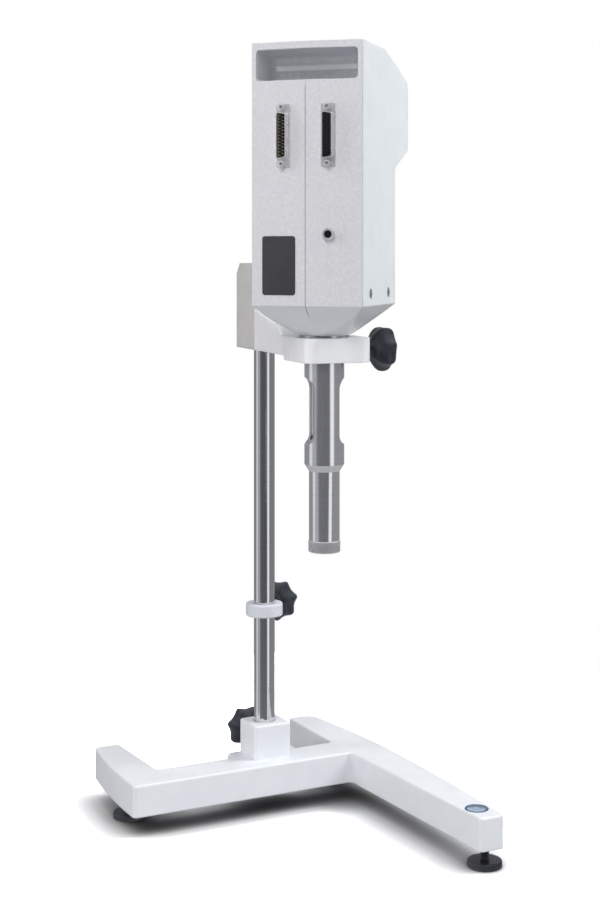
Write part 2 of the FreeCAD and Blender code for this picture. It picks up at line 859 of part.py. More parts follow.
def support_arm():
    body = new_body("support_arm")
    root_top = size.block_bottom + size.neck_root_height
    shoulder = root_top - size.neck_shoulder_drop
    ring_front = size.arm_reach + size.ring_front
    ring_rear = size.arm_reach - size.ring_rear
    side = sketch_on(body, "YZ_Plane")
    draw(side, [
        (-size.block_front, size.block_bottom),
        (-size.block_front, root_top),
        (-size.neck_shoulder, shoulder),
        (-size.neck_meets_ring, ring_top,
         -(size.neck_shoulder + size.neck_meets_ring) / 2 - size.shoulder_bow_forward,
         (shoulder + ring_top) / 2 + size.shoulder_bow_up),
        (-ring_rear, ring_top),
        (-ring_rear, size.block_bottom)])
    pad(side, size.neck_half * 2, both_ways=True)
    cheek = ring_rear - size.ring_front / 2 + size.cheek_lap
    upper = sketch_on(body, "XY_Plane", size.block_bottom)
    draw(upper, [
        (-size.ring_left, -ring_front), (size.ring_right, -ring_front),
        (size.ring_right, -(ring_rear + size.ring_front / 2)),
        (size.neck_half, -cheek), (-size.neck_half, -cheek),
        (-size.ring_left, -ring_rear)])
    pad(upper, ring_top - size.block_bottom)
    lower = sketch_on(body, "XY_Plane", ring_bottom)
    step = (size.ring_right + size.neck_half) / 2
    draw(lower, [
        (-size.ring_left, -ring_front), (size.ring_right, -ring_front),
        (size.ring_right, -(ring_rear + size.ring_front / 2)),
        (step, -ring_rear), (-size.ring_left, -ring_rear)])
    pad(lower, size.block_bottom - ring_bottom)
    soften(body, "Fillet", size.ring_front_left_round, uprights((-size.ring_left, -ring_front)))
    soften(body, "Fillet", size.ring_front_right_round, uprights((size.ring_right, -ring_front)))

    def neck_top(edge):
        box = edge.BoundBox
        return near(box.XMin, box.XMax) and near(abs(box.XMin), size.neck_half) \
            and box.ZMax - box.ZMin > 1 and box.YMax - box.YMin > 20

    soften(body, "Fillet", size.ring_top_round, neck_top)
    bore = sketch_on(body, "XY_Plane", ring_top)
    circle(bore, 0, -size.arm_reach, size.neck_radius + size.running_clearance)
    pocket(bore)
    screw_hole = sketch_on(body, "YZ_Plane", size.ring_right)
    circle(screw_hole, -size.arm_reach, head_screw_height,
           size.clamp_screw_radius + size.running_clearance)
    pocket(screw_hole, size.ring_right)
    tapped = sketch_on(body, "XZ_Plane", size.block_front)
    for offset in (-size.fixing_screw_offset, size.fixing_screw_offset):
        circle(tapped, offset, fixing_height, size.fixing_screw_radius)
    pocket(tapped, size.fixing_engagement, reverse=True)
    place(body, column_x, column_y, 0, size.arm_turn)
    return body


# Neck: a turned flange that hangs in the clamp ring, with a bush for the bob's shaft

def neck_pieces():
    seat = housing_seat
    spigot_top = ring_bottom + size.spigot_length
    socket = size.spigot_radius + size.spigot_clearance
    flange = turned("neck_flange", [
        (socket, ring_bottom), (size.neck_radius, ring_bottom),
        (size.neck_radius, ring_top), (size.flange_radius, ring_top),
        (size.flange_radius, seat), (size.bush_radius, seat),
        (size.bush_radius, spigot_top), (socket, spigot_top)])
    bore = size.shaft_radius + size.running_clearance
    bush = turned("guide_bush", [
        (bore, spigot_top), (size.bush_radius, spigot_top), (size.bush_radius, seat),
        (bore, seat)])
    for piece in (flange, bush):
        place(piece, head_x, head_y, 0, size.head_turn)
    return [flange, bush]


# Lower housing: four flat sides narrowed to the neck, their corners turned to a cone

def housing_plan(sketch, half, rear, front, ridge):
    draw(sketch, [(-half, front), (-half, rear), (0, ridge), (half, rear), (half, front)])


def free_sketch(name, height):
    sketch = doc.addObject("Sketcher::SketchObject", name)
    bind(sketch, "Placement.Base.z", height)
    return sketch


def funnel(name, bottom, top, half_low, half_high, inset):
    """A loft between the plan of the head's foot and the small plan at the neck."""
    low = free_sketch(name + "_low", bottom)
    slope = tangent(size.panel_angle)
    housing_plan(low, half_low, -half_low, half_low, -half_low - half_low * slope)
    high = free_sketch(name + "_high", top)
    housing_plan(high, half_high, half_high * slope - size.head_ridge + inset,
                 size.head_front - inset, inset - size.head_ridge)
    loft = doc.addObject("Part::Loft", name)
    loft.Sections = [low, high]
    loft.Solid = True
    loft.Ruled = True
    return loft


def lower_housing():
    seat = housing_seat
    outside = funnel("funnel_outside", seat, head_bottom,
                     size.lower_housing_half, size.head_half, 0)
    cone = doc.addObject("Part::Cone", "funnel_cone")
    bind(cone, "Radius1", size.lower_housing_half)
    bind(cone, "Radius2", size.funnel_radius)
    bind(cone, "Height", size.lower_housing_height)
    bind(cone, "Placement.Base.z", seat)
    shell = doc.addObject("Part::MultiCommon", "funnel_form")
    shell.Shapes = [outside, cone]
    inside = funnel("funnel_inside", seat + size.funnel_floor, head_bottom,
                    size.lower_housing_half - size.funnel_floor, size.head_half - size.rim_width,
                    size.rim_width)
    inner_cone = doc.addObject("Part::Cone", "funnel_inner_cone")
    bind(inner_cone, "Radius1", size.lower_housing_half - size.funnel_floor)
    bind(inner_cone, "Radius2", size.funnel_radius - size.rim_width * 2)
    bind(inner_cone, "Height", size.lower_housing_height - size.funnel_floor)
    bind(inner_cone, "Placement.Base.z", seat + size.funnel_floor)
    hollow = doc.addObject("Part::MultiCommon", "funnel_hollow")
    hollow.Shapes = [inside, inner_cone]
    opening = doc.addObject("Part::Cylinder", "funnel_opening")
    bind(opening, "Radius", size.shaft_opening)
    bind(opening, "Height", size.lower_housing_height)
    bind(opening, "Placement.Base.z", seat - size.funnel_floor)
    tools = doc.addObject("Part::MultiFuse", "funnel_tools")
    tools.Shapes = [hollow, opening]
    housing = doc.addObject("Part::Cut", "lower_housing")
    housing.Label = "lower_housing"
    housing.Base = shell
    housing.Tool = tools
    place(housing, head_x, head_y, 0, size.head_turn)
    return housing


# Rear cover: one plate bent at its middle, with the recess mouth and connector cut-outs

def rear_cover():
    body = new_body("rear_cover")
    plan = sketch_on(body, "XY_Plane", head_bottom)
    draw(plan, [
        (-size.head_half, ridge_line(size.head_half)),
        (0, ridge_line(0)),
        (size.head_half, ridge_line(size.head_half)),
        (size.head_half, ridge_line(size.head_half, size.cover_wall)),
        (0, ridge_line(0, size.cover_wall)),
        (-size.head_half, ridge_line(size.head_half, size.cover_wall))])
    pad(plan, head_top - head_bottom)
    mouth = sketch_on(body, "XZ_Plane")
    rounded_rectangle(mouth, size.grip_half, grip_bottom, grip_top, size.grip_round)
    pocket(mouth, both_ways=True)
    openings = sketch_on(body, "XZ_Plane")
    half_width = size.dsub_body_width / 2 + size.cutout_clearance
    half_length = size.dsub_body_length / 2 + size.cutout_clearance
    jack = size.dsub_jack_spacing / 2
    for side in (-1, 1):
        middle = size.dsub_offset * side
        rectangle(openings, middle - half_width, dsub_height - half_length,
                  middle + half_width, dsub_height + half_length)
        for height in (dsub_height - jack, dsub_height + jack):
            circle(openings, middle, height, size.dsub_jack_stem + size.cutout_clearance)
    circle(openings, size.round_socket_offset, head_bottom + size.round_socket_rise,
           size.round_socket_neck + size.cutout_clearance)
    pocket(openings, both_ways=True)
    place(body, head_x, head_y, 0, size.head_turn)
    return body


# Front cover: both sides, the roof, the hood and the front in one folded shell

def front_cover():
    body = new_body("front_cover")
    wall = size.cover_wall
    behind = -size.head_ridge - wall
    outer = sketch_on(body, "YZ_Plane")
    draw(outer, [
        (behind, head_bottom), (size.head_front, head_bottom),
        (size.head_front, hood_root), (size.hood_front, hood_underside),
        (size.hood_front, hood_brow), (size.roof_front, head_top),
        (behind, head_top)])
    pad(outer, size.head_half * 2, both_ways=True)
    soften(body, "Fillet", size.brow_round, across(size.hood_front, hood_brow))
    soften(body, "Fillet", size.hood_edge_round, across(size.hood_front, hood_underside))
    soften(body, "Fillet", size.hood_root_round, across(size.head_front, hood_root))
    soften(body, "Fillet", size.roof_round, across(size.roof_front, head_top))
    hood_run = size.hood_front - size.head_front
    hood_rise = hood_underside - hood_root
    hood_inset = wall * (long_side(hood_run, hood_rise) - hood_rise) / hood_run
    roof_run = size.hood_front - size.roof_front
    roof_drop = head_top - hood_brow
    roof_slope = long_side(roof_run, roof_drop)
    brow_inset = wall * (roof_slope - roof_drop) / roof_run
    roof_inset = wall * (roof_slope - roof_run) / roof_drop
    inner = sketch_on(body, "YZ_Plane")
    draw(inner, [
        (behind - wall, head_bottom - wall), (size.head_front - wall, head_bottom - wall),
        (size.head_front - wall, hood_root + hood_inset),
        (size.hood_front - wall, hood_underside + hood_inset),
        (size.hood_front - wall, hood_brow - brow_inset),
        (size.roof_front - roof_inset, head_top - wall),
        (behind - wall, head_top - wall)])
    pocket(inner, (size.head_half - wall) * 2, both_ways=True)
    rear = sketch_on(body, "XY_Plane", head_bottom)
    wide = size.head_half + wall
    far = behind - wall
    draw(rear, [
        (-wide, far), (wide, far), (wide, ridge_line(wide, wall)), (0, ridge_line(0, wall)),
        (-wide, ridge_line(wide, wall))])
    pocket(rear, reverse=True)
    window_cut = sketch_on(body, "XZ_Plane", -size.hood_front)
    rectangle(window_cut, size.window_lip - size.window_half_width,
              window_height + size.window_lip - size.window_half_height,
              size.window_half_width - size.window_lip,
              window_height + size.window_half_height - size.window_lip)
    for spot in key_spots:
        circle(window_cut, spot, key_height, size.key_radius + size.key_clearance)
    pocket(window_cut, wall * 2, reverse=True)
    window_seat = sketch_on(body, "XZ_Plane", -size.hood_front)
    rectangle(window_seat, -size.window_half_width, window_height - size.window_half_height,
              size.window_half_width, window_height + size.window_half_height)
    pocket(window_seat, size.window_thickness, reverse=True)
    screw_holes = sketch_on(body, "YZ_Plane")
    for y in (size.side_screw_rear, size.side_screw_front):
        circle(screw_holes, y, side_screw_height, size.side_screw_radius)
    pocket(screw_holes, both_ways=True)

    def screw_mouth(edge):
        box = edge.BoundBox
        return isinstance(edge.Curve, Part.Circle) and near(box.XMin, box.XMax) \
            and near(abs(box.XMin), size.head_half) \
            and near(edge.Curve.Radius, size.side_screw_radius)

    soften(body, "Chamfer", size.side_screw_head - size.side_screw_radius, screw_mouth)
    place(body, head_x, head_y, 0, size.head_turn)
    return body


# Grip recess: a drafted liner whose mouth meets the rear cover from inside

def grip_recess():
    body = new_body("grip_recess")
    start = size.head_ridge
    outside = sketch_on(body, "XZ_Plane", start)
    rounded_rectangle(outside, size.grip_half + size.grip_wall, grip_bottom - size.grip_wall,
                      grip_top + size.grip_wall, size.grip_round + size.grip_wall)
    pad(outside, size.grip_depth + size.grip_wall, reverse=True, taper=-size.grip_draft)
    inside = sketch_on(body, "XZ_Plane", start)
    rounded_rectangle(inside, size.grip_half, grip_bottom, grip_top, size.grip_round)
    hollow = pocket(inside, size.grip_depth)
    bind(hollow, "TaperAngle", -size.grip_draft)
    doc.recompute()
    floor = size.grip_depth - start

    def back_corner(edge):
        box = edge.BoundBox
        return near(box.YMin, floor) and near(box.YMax, floor) \
            and near(box.ZMin, box.ZMax) and box.ZMax < number((grip_bottom + grip_top) / 2)

    soften(body, "Fillet", size.grip_back_round, back_corner)
    mouth = sketch_on(body, "XY_Plane", grip_bottom - size.head_half)
    wide = size.head_half + size.grip_wall
    draw(mouth, [
        (-wide, -start * 2), (wide, -start * 2), (wide, ridge_line(wide, size.cover_wall)),
        (0, ridge_line(0, size.cover_wall)), (-wide, ridge_line(wide, size.cover_wall))])
    pocket(mouth, reverse=True)
    place(body, head_x, head_y, 0, size.head_turn)
    return body


# Connectors with 25 ways, drawn about their own middle with local -Y out of the panel

def on_panel(target, offset, height, side):
    """Stand a piece on the outer face of the left (-1) or right (1) rear panel."""
    x, y = on_head(offset * side, ridge_line(offset))
    place(target, x, y, height, size.head_turn + size.panel_angle * side)


def d_outline(sketch, shrink):
    """The D shape, standing upright, wide on its left side."""
    half_width = size.dsub_shell_width / 2 - shrink
    long_half = size.dsub_shell_length / 2 - shrink
    short_half = long_half - size.dsub_shell_taper
    draw(sketch, [(-half_width, -long_half), (half_width, -short_half),
                  (half_width, short_half), (-half_width, long_half)])


def dsub_contacts():
    """Thirteen places in the wide row and twelve in the narrow one."""
    wide = [(-size.dsub_row_offset, size.dsub_pitch * (place_no - 6)) for place_no in range(13)]
    narrow = [(size.dsub_row_offset, size.dsub_pitch * (place_no - 5.5)) for place_no in range(12)]
    return wide + narrow


def dsub_connector(name, side, is_socket):
    flange_half = size.dsub_flange_width / 2
    flange_long = size.dsub_flange_length / 2
    jack = size.dsub_jack_spacing / 2
    shell = new_body(name + "_shell")
    flange = sketch_on(shell, "XZ_Plane")
    rounded_rectangle(flange, flange_half, -flange_long, flange_long, size.dsub_flange_round)
    pad(flange, size.dsub_flange_thickness)
    rim = sketch_on(shell, "XZ_Plane")
    d_outline(rim, 0)
    pad(rim, size.dsub_protrusion)
    hollow = sketch_on(shell, "XZ_Plane", size.dsub_protrusion)
    d_outline(hollow, size.dsub_shell_wall)
    pocket(hollow)
    holes = sketch_on(shell, "XZ_Plane", size.dsub_flange_thickness)
    for height in (-jack, jack):
        circle(holes, 0, height, size.dsub_jack_stem)
    pocket(holes)
    insert = new_body(name + "_insert")
    block = sketch_on(insert, "XZ_Plane")
    half_width = size.dsub_body_width / 2
    half_length = size.dsub_body_length / 2
    rectangle(block, -half_width, -half_length, half_width, half_length)
    pad(block, size.dsub_body_depth, reverse=True)
    tongue = sketch_on(insert, "XZ_Plane")
    d_outline(tongue, size.dsub_shell_wall)
    base_face = size.dsub_flange_thickness * 2
    face = size.dsub_protrusion - size.dsub_shell_wall if is_socket else base_face
    pad(tongue, face)
    pieces = [shell, insert]
    if is_socket:
        sockets = sketch_on(insert, "XZ_Plane", face)
        for x, z in dsub_contacts():
            circle(sockets, x, z, size.dsub_socket_radius)
        pocket(sockets, size.dsub_socket_depth)
    else:
        pins = new_body(name + "_pins")
        pin_plan = sketch_on(pins, "XZ_Plane", face)
        for x, z in dsub_contacts():
            circle(pin_plan, x, z, size.dsub_pin_radius)
        pad(pin_plan, size.dsub_protrusion - size.dsub_shell_wall - face)
        pieces.append(pins)
    jacks = new_body(name + "_jacks")
    hexagons = sketch_on(jacks, "XZ_Plane", size.dsub_flange_thickness)
    stems = sketch_on(jacks, "XZ_Plane", size.dsub_flange_thickness)
    bores = sketch_on(jacks, "XZ_Plane", size.dsub_flange_thickness + size.dsub_jack_length)
    corner = size.dsub_jack_flat / math.sqrt(3)
    for height in (-jack, jack):
        draw(hexagons, [(corner * math.cos(math.radians(60 * step)),
                         height + corner * math.sin(math.radians(60 * step)))
                        for step in range(6)])
        circle(stems, 0, height, size.dsub_jack_stem)
        circle(bores, 0, height, size.dsub_jack_bore)
    pad(hexagons, size.dsub_jack_length)
    pad(stems, size.dsub_flange_thickness + size.cover_wall * 2, reverse=True)
    pocket(bores, size.dsub_jack_length)
    pieces.append(jacks)
    for piece in pieces:
        on_panel(piece, size.dsub_offset, dsub_height, side)
    return pieces


def round_socket():
    """The supply socket: a threaded ring with an insulator that holds its centre pin."""
    ring = new_body("round_socket_shell")
    inside = size.round_socket_radius - size.round_socket_wall
    profile = sketch_on(ring, "XY_Plane")
    draw(profile, [
        (inside, -size.round_socket_protrusion),
        (size.round_socket_radius, -size.round_socket_protrusion),
        (size.round_socket_radius, 0), (size.round_socket_neck, 0),
        (size.round_socket_neck, size.round_socket_neck_length),
        (inside, size.round_socket_neck_length)])
    revolve(profile)
    insert = new_body("round_socket_insert")
    pin = size.round_socket_wall
    pin_end = size.round_socket_pin_setback - size.round_socket_protrusion
    core = sketch_on(insert, "XY_Plane")
    draw(core, [
        (0, pin_end), (pin, pin_end),
        (pin, -size.round_socket_wall), (inside, -size.round_socket_wall),
        (inside, size.round_socket_neck_length), (0, size.round_socket_neck_length)])
    revolve(core)
    for piece in (ring, insert):
        on_panel(piece, size.round_socket_offset, head_bottom + size.round_socket_rise, 1)
    return [ring, insert]


# Label plate: bare, bonded to the left panel

def label_plate():
    body = new_body("label_plate")
    plan = sketch_on(body, "XZ_Plane")
    rounded_rectangle(plan, size.label_width / 2, 0, size.label_height, size.label_round)
    pad(plan, size.label_thickness)
    on_panel(body, size.label_offset, head_bottom + size.label_rise, -1)
    return body


# Side screws: four countersunk screws through the front cover into the chassis flanges

def side_screws():
    body = new_body("side_screws")
    under_head = size.head_half - size.side_screw_head_depth
    for side, outwards in ((-1, True), (1, False)):
        heads = sketch_on(body, "YZ_Plane", size.head_half * side)
        shanks = sketch_on(body, "YZ_Plane", under_head * side)
        sockets = sketch_on(body, "YZ_Plane", size.head_half * side)
        for y in (size.side_screw_rear, size.side_screw_front):
            circle(heads, y, side_screw_height, size.side_screw_head)
            circle(shanks, y, side_screw_height, size.side_screw_radius)
            circle(sockets, y, side_screw_height, size.side_screw_socket)
        pad(heads, size.side_screw_head_depth, reverse=not outwards, taper=-45)
        pad(shanks, size.side_screw_length, reverse=not outwards)
        pocket(sockets, size.side_screw_socket, reverse=outwards)
    place(body, head_x, head_y, 0, size.head_turn)
    return body


# Display and keys behind the front of the hood

key_spots = [size.key_spacing * step for step in (-2, -1, 0, 1, 2)]


def display_and_board():
    window = new_body("display_window")
    glass = sketch_on(window, "XZ_Plane", size.window_thickness - size.hood_front)
    rectangle(glass, -size.window_half_width, window_height - size.window_half_height,
              size.window_half_width, window_height + size.window_half_height)
    pad(glass, size.window_thickness, reverse=True)
    board_face = size.hood_front - size.board_setback
    module = new_body("display_module")
    cell = sketch_on(module, "XZ_Plane", -board_face)
    rectangle(cell, -size.module_half_width, window_height - size.module_half_height,
              size.module_half_width, window_height + size.module_half_height)
    pad(cell, size.board_setback - size.cover_wall, reverse=True)
    board = new_body("key_board")
    plate = sketch_on(board, "XZ_Plane", size.board_thickness - board_face)
    board_bottom = hood_underside + size.front_board_rise
    rectangle(plate, -size.front_board_half_width, board_bottom,
              size.front_board_half_width, board_bottom + size.front_board_height)
    pad(plate, size.board_thickness, reverse=True)
    switches = sketch_on(board, "XZ_Plane", -board_face)
    for spot in key_spots:
        circle(switches, spot, key_height, size.key_stem_radius)
    pad(switches, size.switch_height, reverse=True)
    for piece in (window, module, board):
        place(piece, head_x, head_y, 0, size.head_turn)
    return [window, module, board]


def key(name, spot):
    """A push key drawn about its own axis, local y = 0 on the hood's outer face."""
    body = new_body(name)
    flange_back = -size.cover_wall - size.key_flange_thickness
    stem_end = size.switch_height + size.key_travel + size.tip_gap - size.board_setback
    dish = size.key_proud / 4
    profile = sketch_on(body, "XY_Plane")
    draw(profile, [
        (0, stem_end), (size.key_stem_radius, stem_end), (size.key_stem_radius, flange_back),
        (size.key_radius + size.key_flange, flange_back),
        (size.key_radius + size.key_flange, -size.cover_wall),
        (size.key_radius, -size.cover_wall), (size.key_radius, size.key_proud - dish),
        (size.key_radius - dish, size.key_proud), (0, size.key_proud - dish)])
    revolve(profile)
    x, y = on_head(spot, size.hood_front)
    place(body, x, y, key_height, size.head_turn)
    return body


# Inside the head: chassis, torque sensor, motor on its posts, and two boards

chassis_top = head_bottom + size.chassis_thickness


def chassis():
    body = new_body("chassis")
    half = size.head_half - size.cover_wall
    plan = sketch_on(body, "XY_Plane", head_bottom)
    rectangle(plan, -half, -size.chassis_rear, half, size.chassis_front)
    pad(plan, size.chassis_thickness)
    flanges = sketch_on(body, "XY_Plane", chassis_top)
    inner = half - size.chassis_thickness
    rectangle(flanges, -half, -size.chassis_rear, -inner, size.chassis_front)
    rectangle(flanges, inner, -size.chassis_rear, half, size.chassis_front)
    pad(flanges, size.chassis_flange_height)
    hole = sketch_on(body, "XY_Plane", chassis_top)
    circle(hole, 0, 0, size.chassis_hole)
    pocket(hole)
    threads = sketch_on(body, "YZ_Plane")
    for y in (size.side_screw_rear, size.side_screw_front):
        circle(threads, y, side_screw_height, size.side_screw_radius)
    pocket(threads, both_ways=True)
    place(body, head_x, head_y, 0, size.head_turn)
    return body


def drive_pieces():
    shaft_hole = size.shaft_radius + size.shaft_clearance
    sensor_top = chassis_top + size.sensor_height
    step = size.sensor_step
    sensor = turned("torque_sensor", [
        (size.chassis_hole, chassis_top), (size.sensor_radius, chassis_top),
        (size.sensor_radius, sensor_top - step), (size.sensor_radius - step, sensor_top),
        (shaft_hole, sensor_top), (shaft_hole, chassis_top + step * 2),
        (size.chassis_hole, chassis_top + step * 2)])
    plate_bottom = chassis_top + size.mount_height
    plate_top = plate_bottom + size.mount_plate
    mount = new_body("motor_mount")
    plate = sketch_on(mount, "XY_Plane", plate_bottom)
    circle(plate, 0, 0, size.mount_radius)
    circle(plate, 0, 0, shaft_hole)
    pad(plate, size.mount_plate)
    posts = sketch_on(mount, "XY_Plane", chassis_top)
    for step_angle in (90, 210, 330):
        circle(posts, size.mount_post_circle * math.cos(math.radians(step_angle)),
               size.mount_post_circle * math.sin(math.radians(step_angle)),
               size.mount_post_radius)
    pad(posts, size.mount_height)
    shaft_top = plate_top + size.shaft_in_motor
    motor_top = plate_top + size.motor_height
    slim = size.motor_radius - size.mount_plate
    motor = turned("gear_motor", [
        (shaft_hole, plate_top), (size.motor_radius, plate_top),
        (size.motor_radius, plate_top + size.gearbox_height),
        (slim, plate_top + size.gearbox_height), (slim, motor_top), (0, motor_top),
        (0, shaft_top + size.tip_gap), (shaft_hole, shaft_top + size.tip_gap)])
    drive_shaft = turned("drive_shaft", [
        (0, shaft_joint), (size.shaft_radius, shaft_joint),
        (size.shaft_radius, shaft_top), (0, shaft_top)])
    coupling = turned("coupling", [
        (size.shaft_radius, shaft_joint - size.coupling_half_length),
        (size.coupling_radius, shaft_joint - size.coupling_half_length),
        (size.coupling_radius, shaft_joint + size.coupling_half_length),
        (size.shaft_radius, shaft_joint + size.coupling_half_length)])
    pieces = [sensor, mount, motor, drive_shaft, coupling]
    for piece in pieces:
        place(piece, head_x, head_y, 0, size.head_turn)
    return pieces


def circuit_board(name, half, face, height, chips):
    """An upright board on the chassis; chips are (x, z above the foot, half size)."""
    body = new_body(name)
    plate = sketch_on(body, "XZ_Plane", -face - size.board_thickness)
    rectangle(plate, -half, chassis_top, half, chassis_top + height)
    pad(plate, size.board_thickness)
    parts = sketch_on(body, "XZ_Plane", -face)
    for x, z, reach in chips:
        rectangle(parts, x - reach, chassis_top + z - reach, x + reach, chassis_top + z + reach)
    pad(parts, size.chip_height)
    place(body, head_x, head_y, 0, size.head_turn)
    return body


def boards():
    main_chips = [(-20, 75, 9), (15, 80, 6), (0, 40, 8), (24, 45, 5), (-26, 28, 5)]
    rear_chips = [(-19.5, 140, 6), (19.5, 140, 6), (0, 90, 7), (16, 58, 5)]
    return [circuit_board("main_board", size.main_board_half, size.main_board_setback,
                          size.main_board_height, main_chips),
            circuit_board("interface_board", size.rear_board_half,
                          -size.rear_board_setback, size.rear_board_height, rear_chips)]


# Measuring tube: a turned sleeve with two milled windows, and what hangs in it

def run_out(depth, length):
    """How far a cutter's round run-out has left the flat at half its length."""
    cutter = (depth * depth + length * length) / (depth * 2)
    return cutter - root(cutter * cutter - length * length / 4)


def measuring_tube():
    top = ring_bottom
    shoulder = top - size.tube_shoulder_drop
    window_top = top - size.tube_window_drop
    window_bottom = window_top - size.tube_window_length
    body = turned("measuring_tube", [
        (size.tube_bore, tube_end), (size.lower_tube_radius, tube_end),
        (size.lower_tube_radius, shoulder - size.tube_step),
        (size.tube_radius, shoulder),
        (size.tube_radius, top), (size.spigot_radius, top),
        (size.spigot_radius, top + size.spigot_length),
        (size.tube_bore, top + size.spigot_length)])
    depth = size.tube_radius - size.window_flat
    past = size.tube_radius + depth
    milled = sketch_on(body, "XZ_Plane")
    for side in (-1, 1):
        draw(milled, [
            (size.window_flat * side, window_bottom,
             (size.window_flat + run_out(depth, size.window_lower_run)) * side,
             window_bottom - size.window_lower_run / 2),
            (size.window_flat * side, window_top),
            (size.tube_radius * side, window_top + size.window_upper_run,
             (size.window_flat + run_out(depth, size.window_upper_run)) * side,
             window_top + size.window_upper_run / 2),
            (past * side, window_top + size.window_upper_run),
            (past * side, window_bottom - size.window_lower_run),
            (size.tube_radius * side, window_bottom - size.window_lower_run)])
    pocket(milled, both_ways=True)
    place(body, head_x, head_y, 0, size.head_turn + size.tube_turn)
    return body


def end_cap():
    bottom = tube_end - size.cap_height
    slim = size.cap_radius - size.cap_chamfer
    plug = size.tube_bore - size.running_clearance
    body = turned("end_cap", [
        (0, bottom + size.cap_chamfer), (size.cap_recess, bottom + size.cap_chamfer),
        (size.cap_recess, bottom), (slim, bottom), (size.cap_radius, bottom + size.cap_chamfer),
        (size.cap_radius, tube_end - size.cap_chamfer), (slim, tube_end),
        (plug, tube_end), (plug, tube_end + size.cap_plug_height),
        (0, tube_end + size.cap_plug_height)])
    place(body, head_x, head_y, 0, size.head_turn)
    return body


def bob_pieces():
    bob_bottom = tube_end + size.bob_rise
    bob_top = bob_bottom + size.bob_height
    bob = turned("bob", [
        (0, bob_bottom), (size.bob_radius, bob_bottom + size.bob_cone),
        (size.bob_radius, bob_top - size.bob_cone),
        (size.shaft_radius, bob_top), (0, bob_top)])
    shaft = turned("bob_shaft", [
        (0, bob_top), (size.shaft_radius, bob_top), (size.shaft_radius, shaft_joint),
        (0, shaft_joint)])
    for piece in (bob, shaft):
        place(piece, head_x, head_y, 0, size.head_turn)
    return [bob, shaft]


# Build every piece of the stand, then of the head

pieces = [base_casting()]
for foot_name, (foot_x, foot_y) in foot_spots.items():
    pieces += levelling_foot(foot_name, foot_x, foot_y)
pieces += circular_level()
pieces.append(column_rod())
screw_tip = size.rod_radius + size.tip_gap
pieces += clamp_set("base_clamp", size.base_knob_start, size.clamp_screw_radius, screw_tip,
                    (column_x, column_y, base_screw_height, 0))
pieces.append(stop_collar())
pieces += clamp_set("collar_clamp", size.collar_knob_start, size.collar_screw_radius, screw_tip,
                    (column_x, column_y, collar_height,
                     size.collar_turn))
pieces.append(column_clamp_block())
pieces.append(support_arm())
pieces.append(arm_fixing_screws())
pieces += clamp_set("arm_clamp", size.arm_knob_start, size.clamp_screw_radius, screw_tip,
                    (column_x, column_y, arm_screw_height, size.arm_turn - 90))
pieces += clamp_set("head_clamp", size.ring_right + size.touch_gap, size.clamp_screw_radius,
                    size.neck_radius + size.tip_gap,
                    (head_x, head_y, head_screw_height, size.arm_turn - 90))
pieces += neck_pieces()
pieces.append(lower_housing())
pieces.append(rear_cover())
pieces.append(front_cover())
pieces.append(grip_recess())
pieces += dsub_connector("dsub_left", -1, False)
pieces += dsub_connector("dsub_right", 1, True)
pieces += round_socket()
pieces.append(label_plate())
pieces.append(side_screws())
pieces += display_and_board()
for key_number, key_spot in enumerate(key_spots, start=1):
    pieces.append(key(f"key_{key_number}", key_spot))
pieces.append(chassis())
pieces += drive_pieces()
pieces += boards()
pieces.append(measuring_tube())
pieces.append(end_cap())
pieces += bob_pieces()
doc.recompute()

# Check every feature and every piece before anything is written
for item in doc.Objects:
    if "Invalid" in item.State or "Error" in item.State:
        raise RuntimeError(f"{item.Label} failed: {item.State}")
    if item.TypeId in ("PartDesign::Pocket", "PartDesign::Groove"):
        if item.BaseFeature.Shape.Volume - item.Shape.Volume < 0.01:
            raise RuntimeError(f"{item.Label} cuts nothing")
for piece in pieces:
    if piece.Shape.isNull() or not piece.Shape.isValid() or piece.Shape.Volume <= 0:
        raise RuntimeError(f"{piece.Label} has no valid shape")

os.makedirs("parts", exist_ok=True)
for piece in pieces:
    piece.Shape.exportStep(f"parts/{piece.Label}.step")
print(len(pieces), "pieces written")
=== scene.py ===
import bpy
import bmesh
import math
import numpy as np
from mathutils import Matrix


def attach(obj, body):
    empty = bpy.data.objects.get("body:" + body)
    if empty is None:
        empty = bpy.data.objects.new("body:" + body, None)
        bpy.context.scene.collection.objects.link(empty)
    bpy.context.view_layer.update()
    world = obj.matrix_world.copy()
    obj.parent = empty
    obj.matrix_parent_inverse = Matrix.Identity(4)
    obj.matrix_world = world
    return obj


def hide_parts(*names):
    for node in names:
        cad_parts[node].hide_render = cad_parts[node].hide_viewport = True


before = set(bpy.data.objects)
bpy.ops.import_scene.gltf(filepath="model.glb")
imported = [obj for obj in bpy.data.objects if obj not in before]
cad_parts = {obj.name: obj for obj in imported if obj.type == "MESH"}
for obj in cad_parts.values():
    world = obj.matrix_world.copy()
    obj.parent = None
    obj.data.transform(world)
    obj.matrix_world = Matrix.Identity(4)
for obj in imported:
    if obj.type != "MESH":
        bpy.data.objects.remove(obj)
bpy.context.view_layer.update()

# Camera: level, behind the instrument's left rear corner. Its lens is shifted down, so that the
# base is in the picture while the uprights stay upright.

photo_height = 902
focal_pixels = 1650
horizon_row = 252
sensor_size = 36
camera_place = (-0.6795, -1.33535, 0.525)
ahead = (0.4617, 0.887, 0.0)
lens = bpy.data.cameras.new("camera")
lens.sensor_width = sensor_size
lens.lens = focal_pixels * sensor_size / photo_height
lens.shift_y = (horizon_row - photo_height / 2) / photo_height
camera = bpy.data.objects.new("camera", lens)
camera.location = camera_place
camera.rotation_euler = (math.pi / 2, 0, -math.atan2(ahead[0], ahead[1]))
bpy.context.scene.collection.objects.link(camera)
bpy.context.scene.camera = camera
bpy.context.scene.view_settings.view_transform = "Standard"

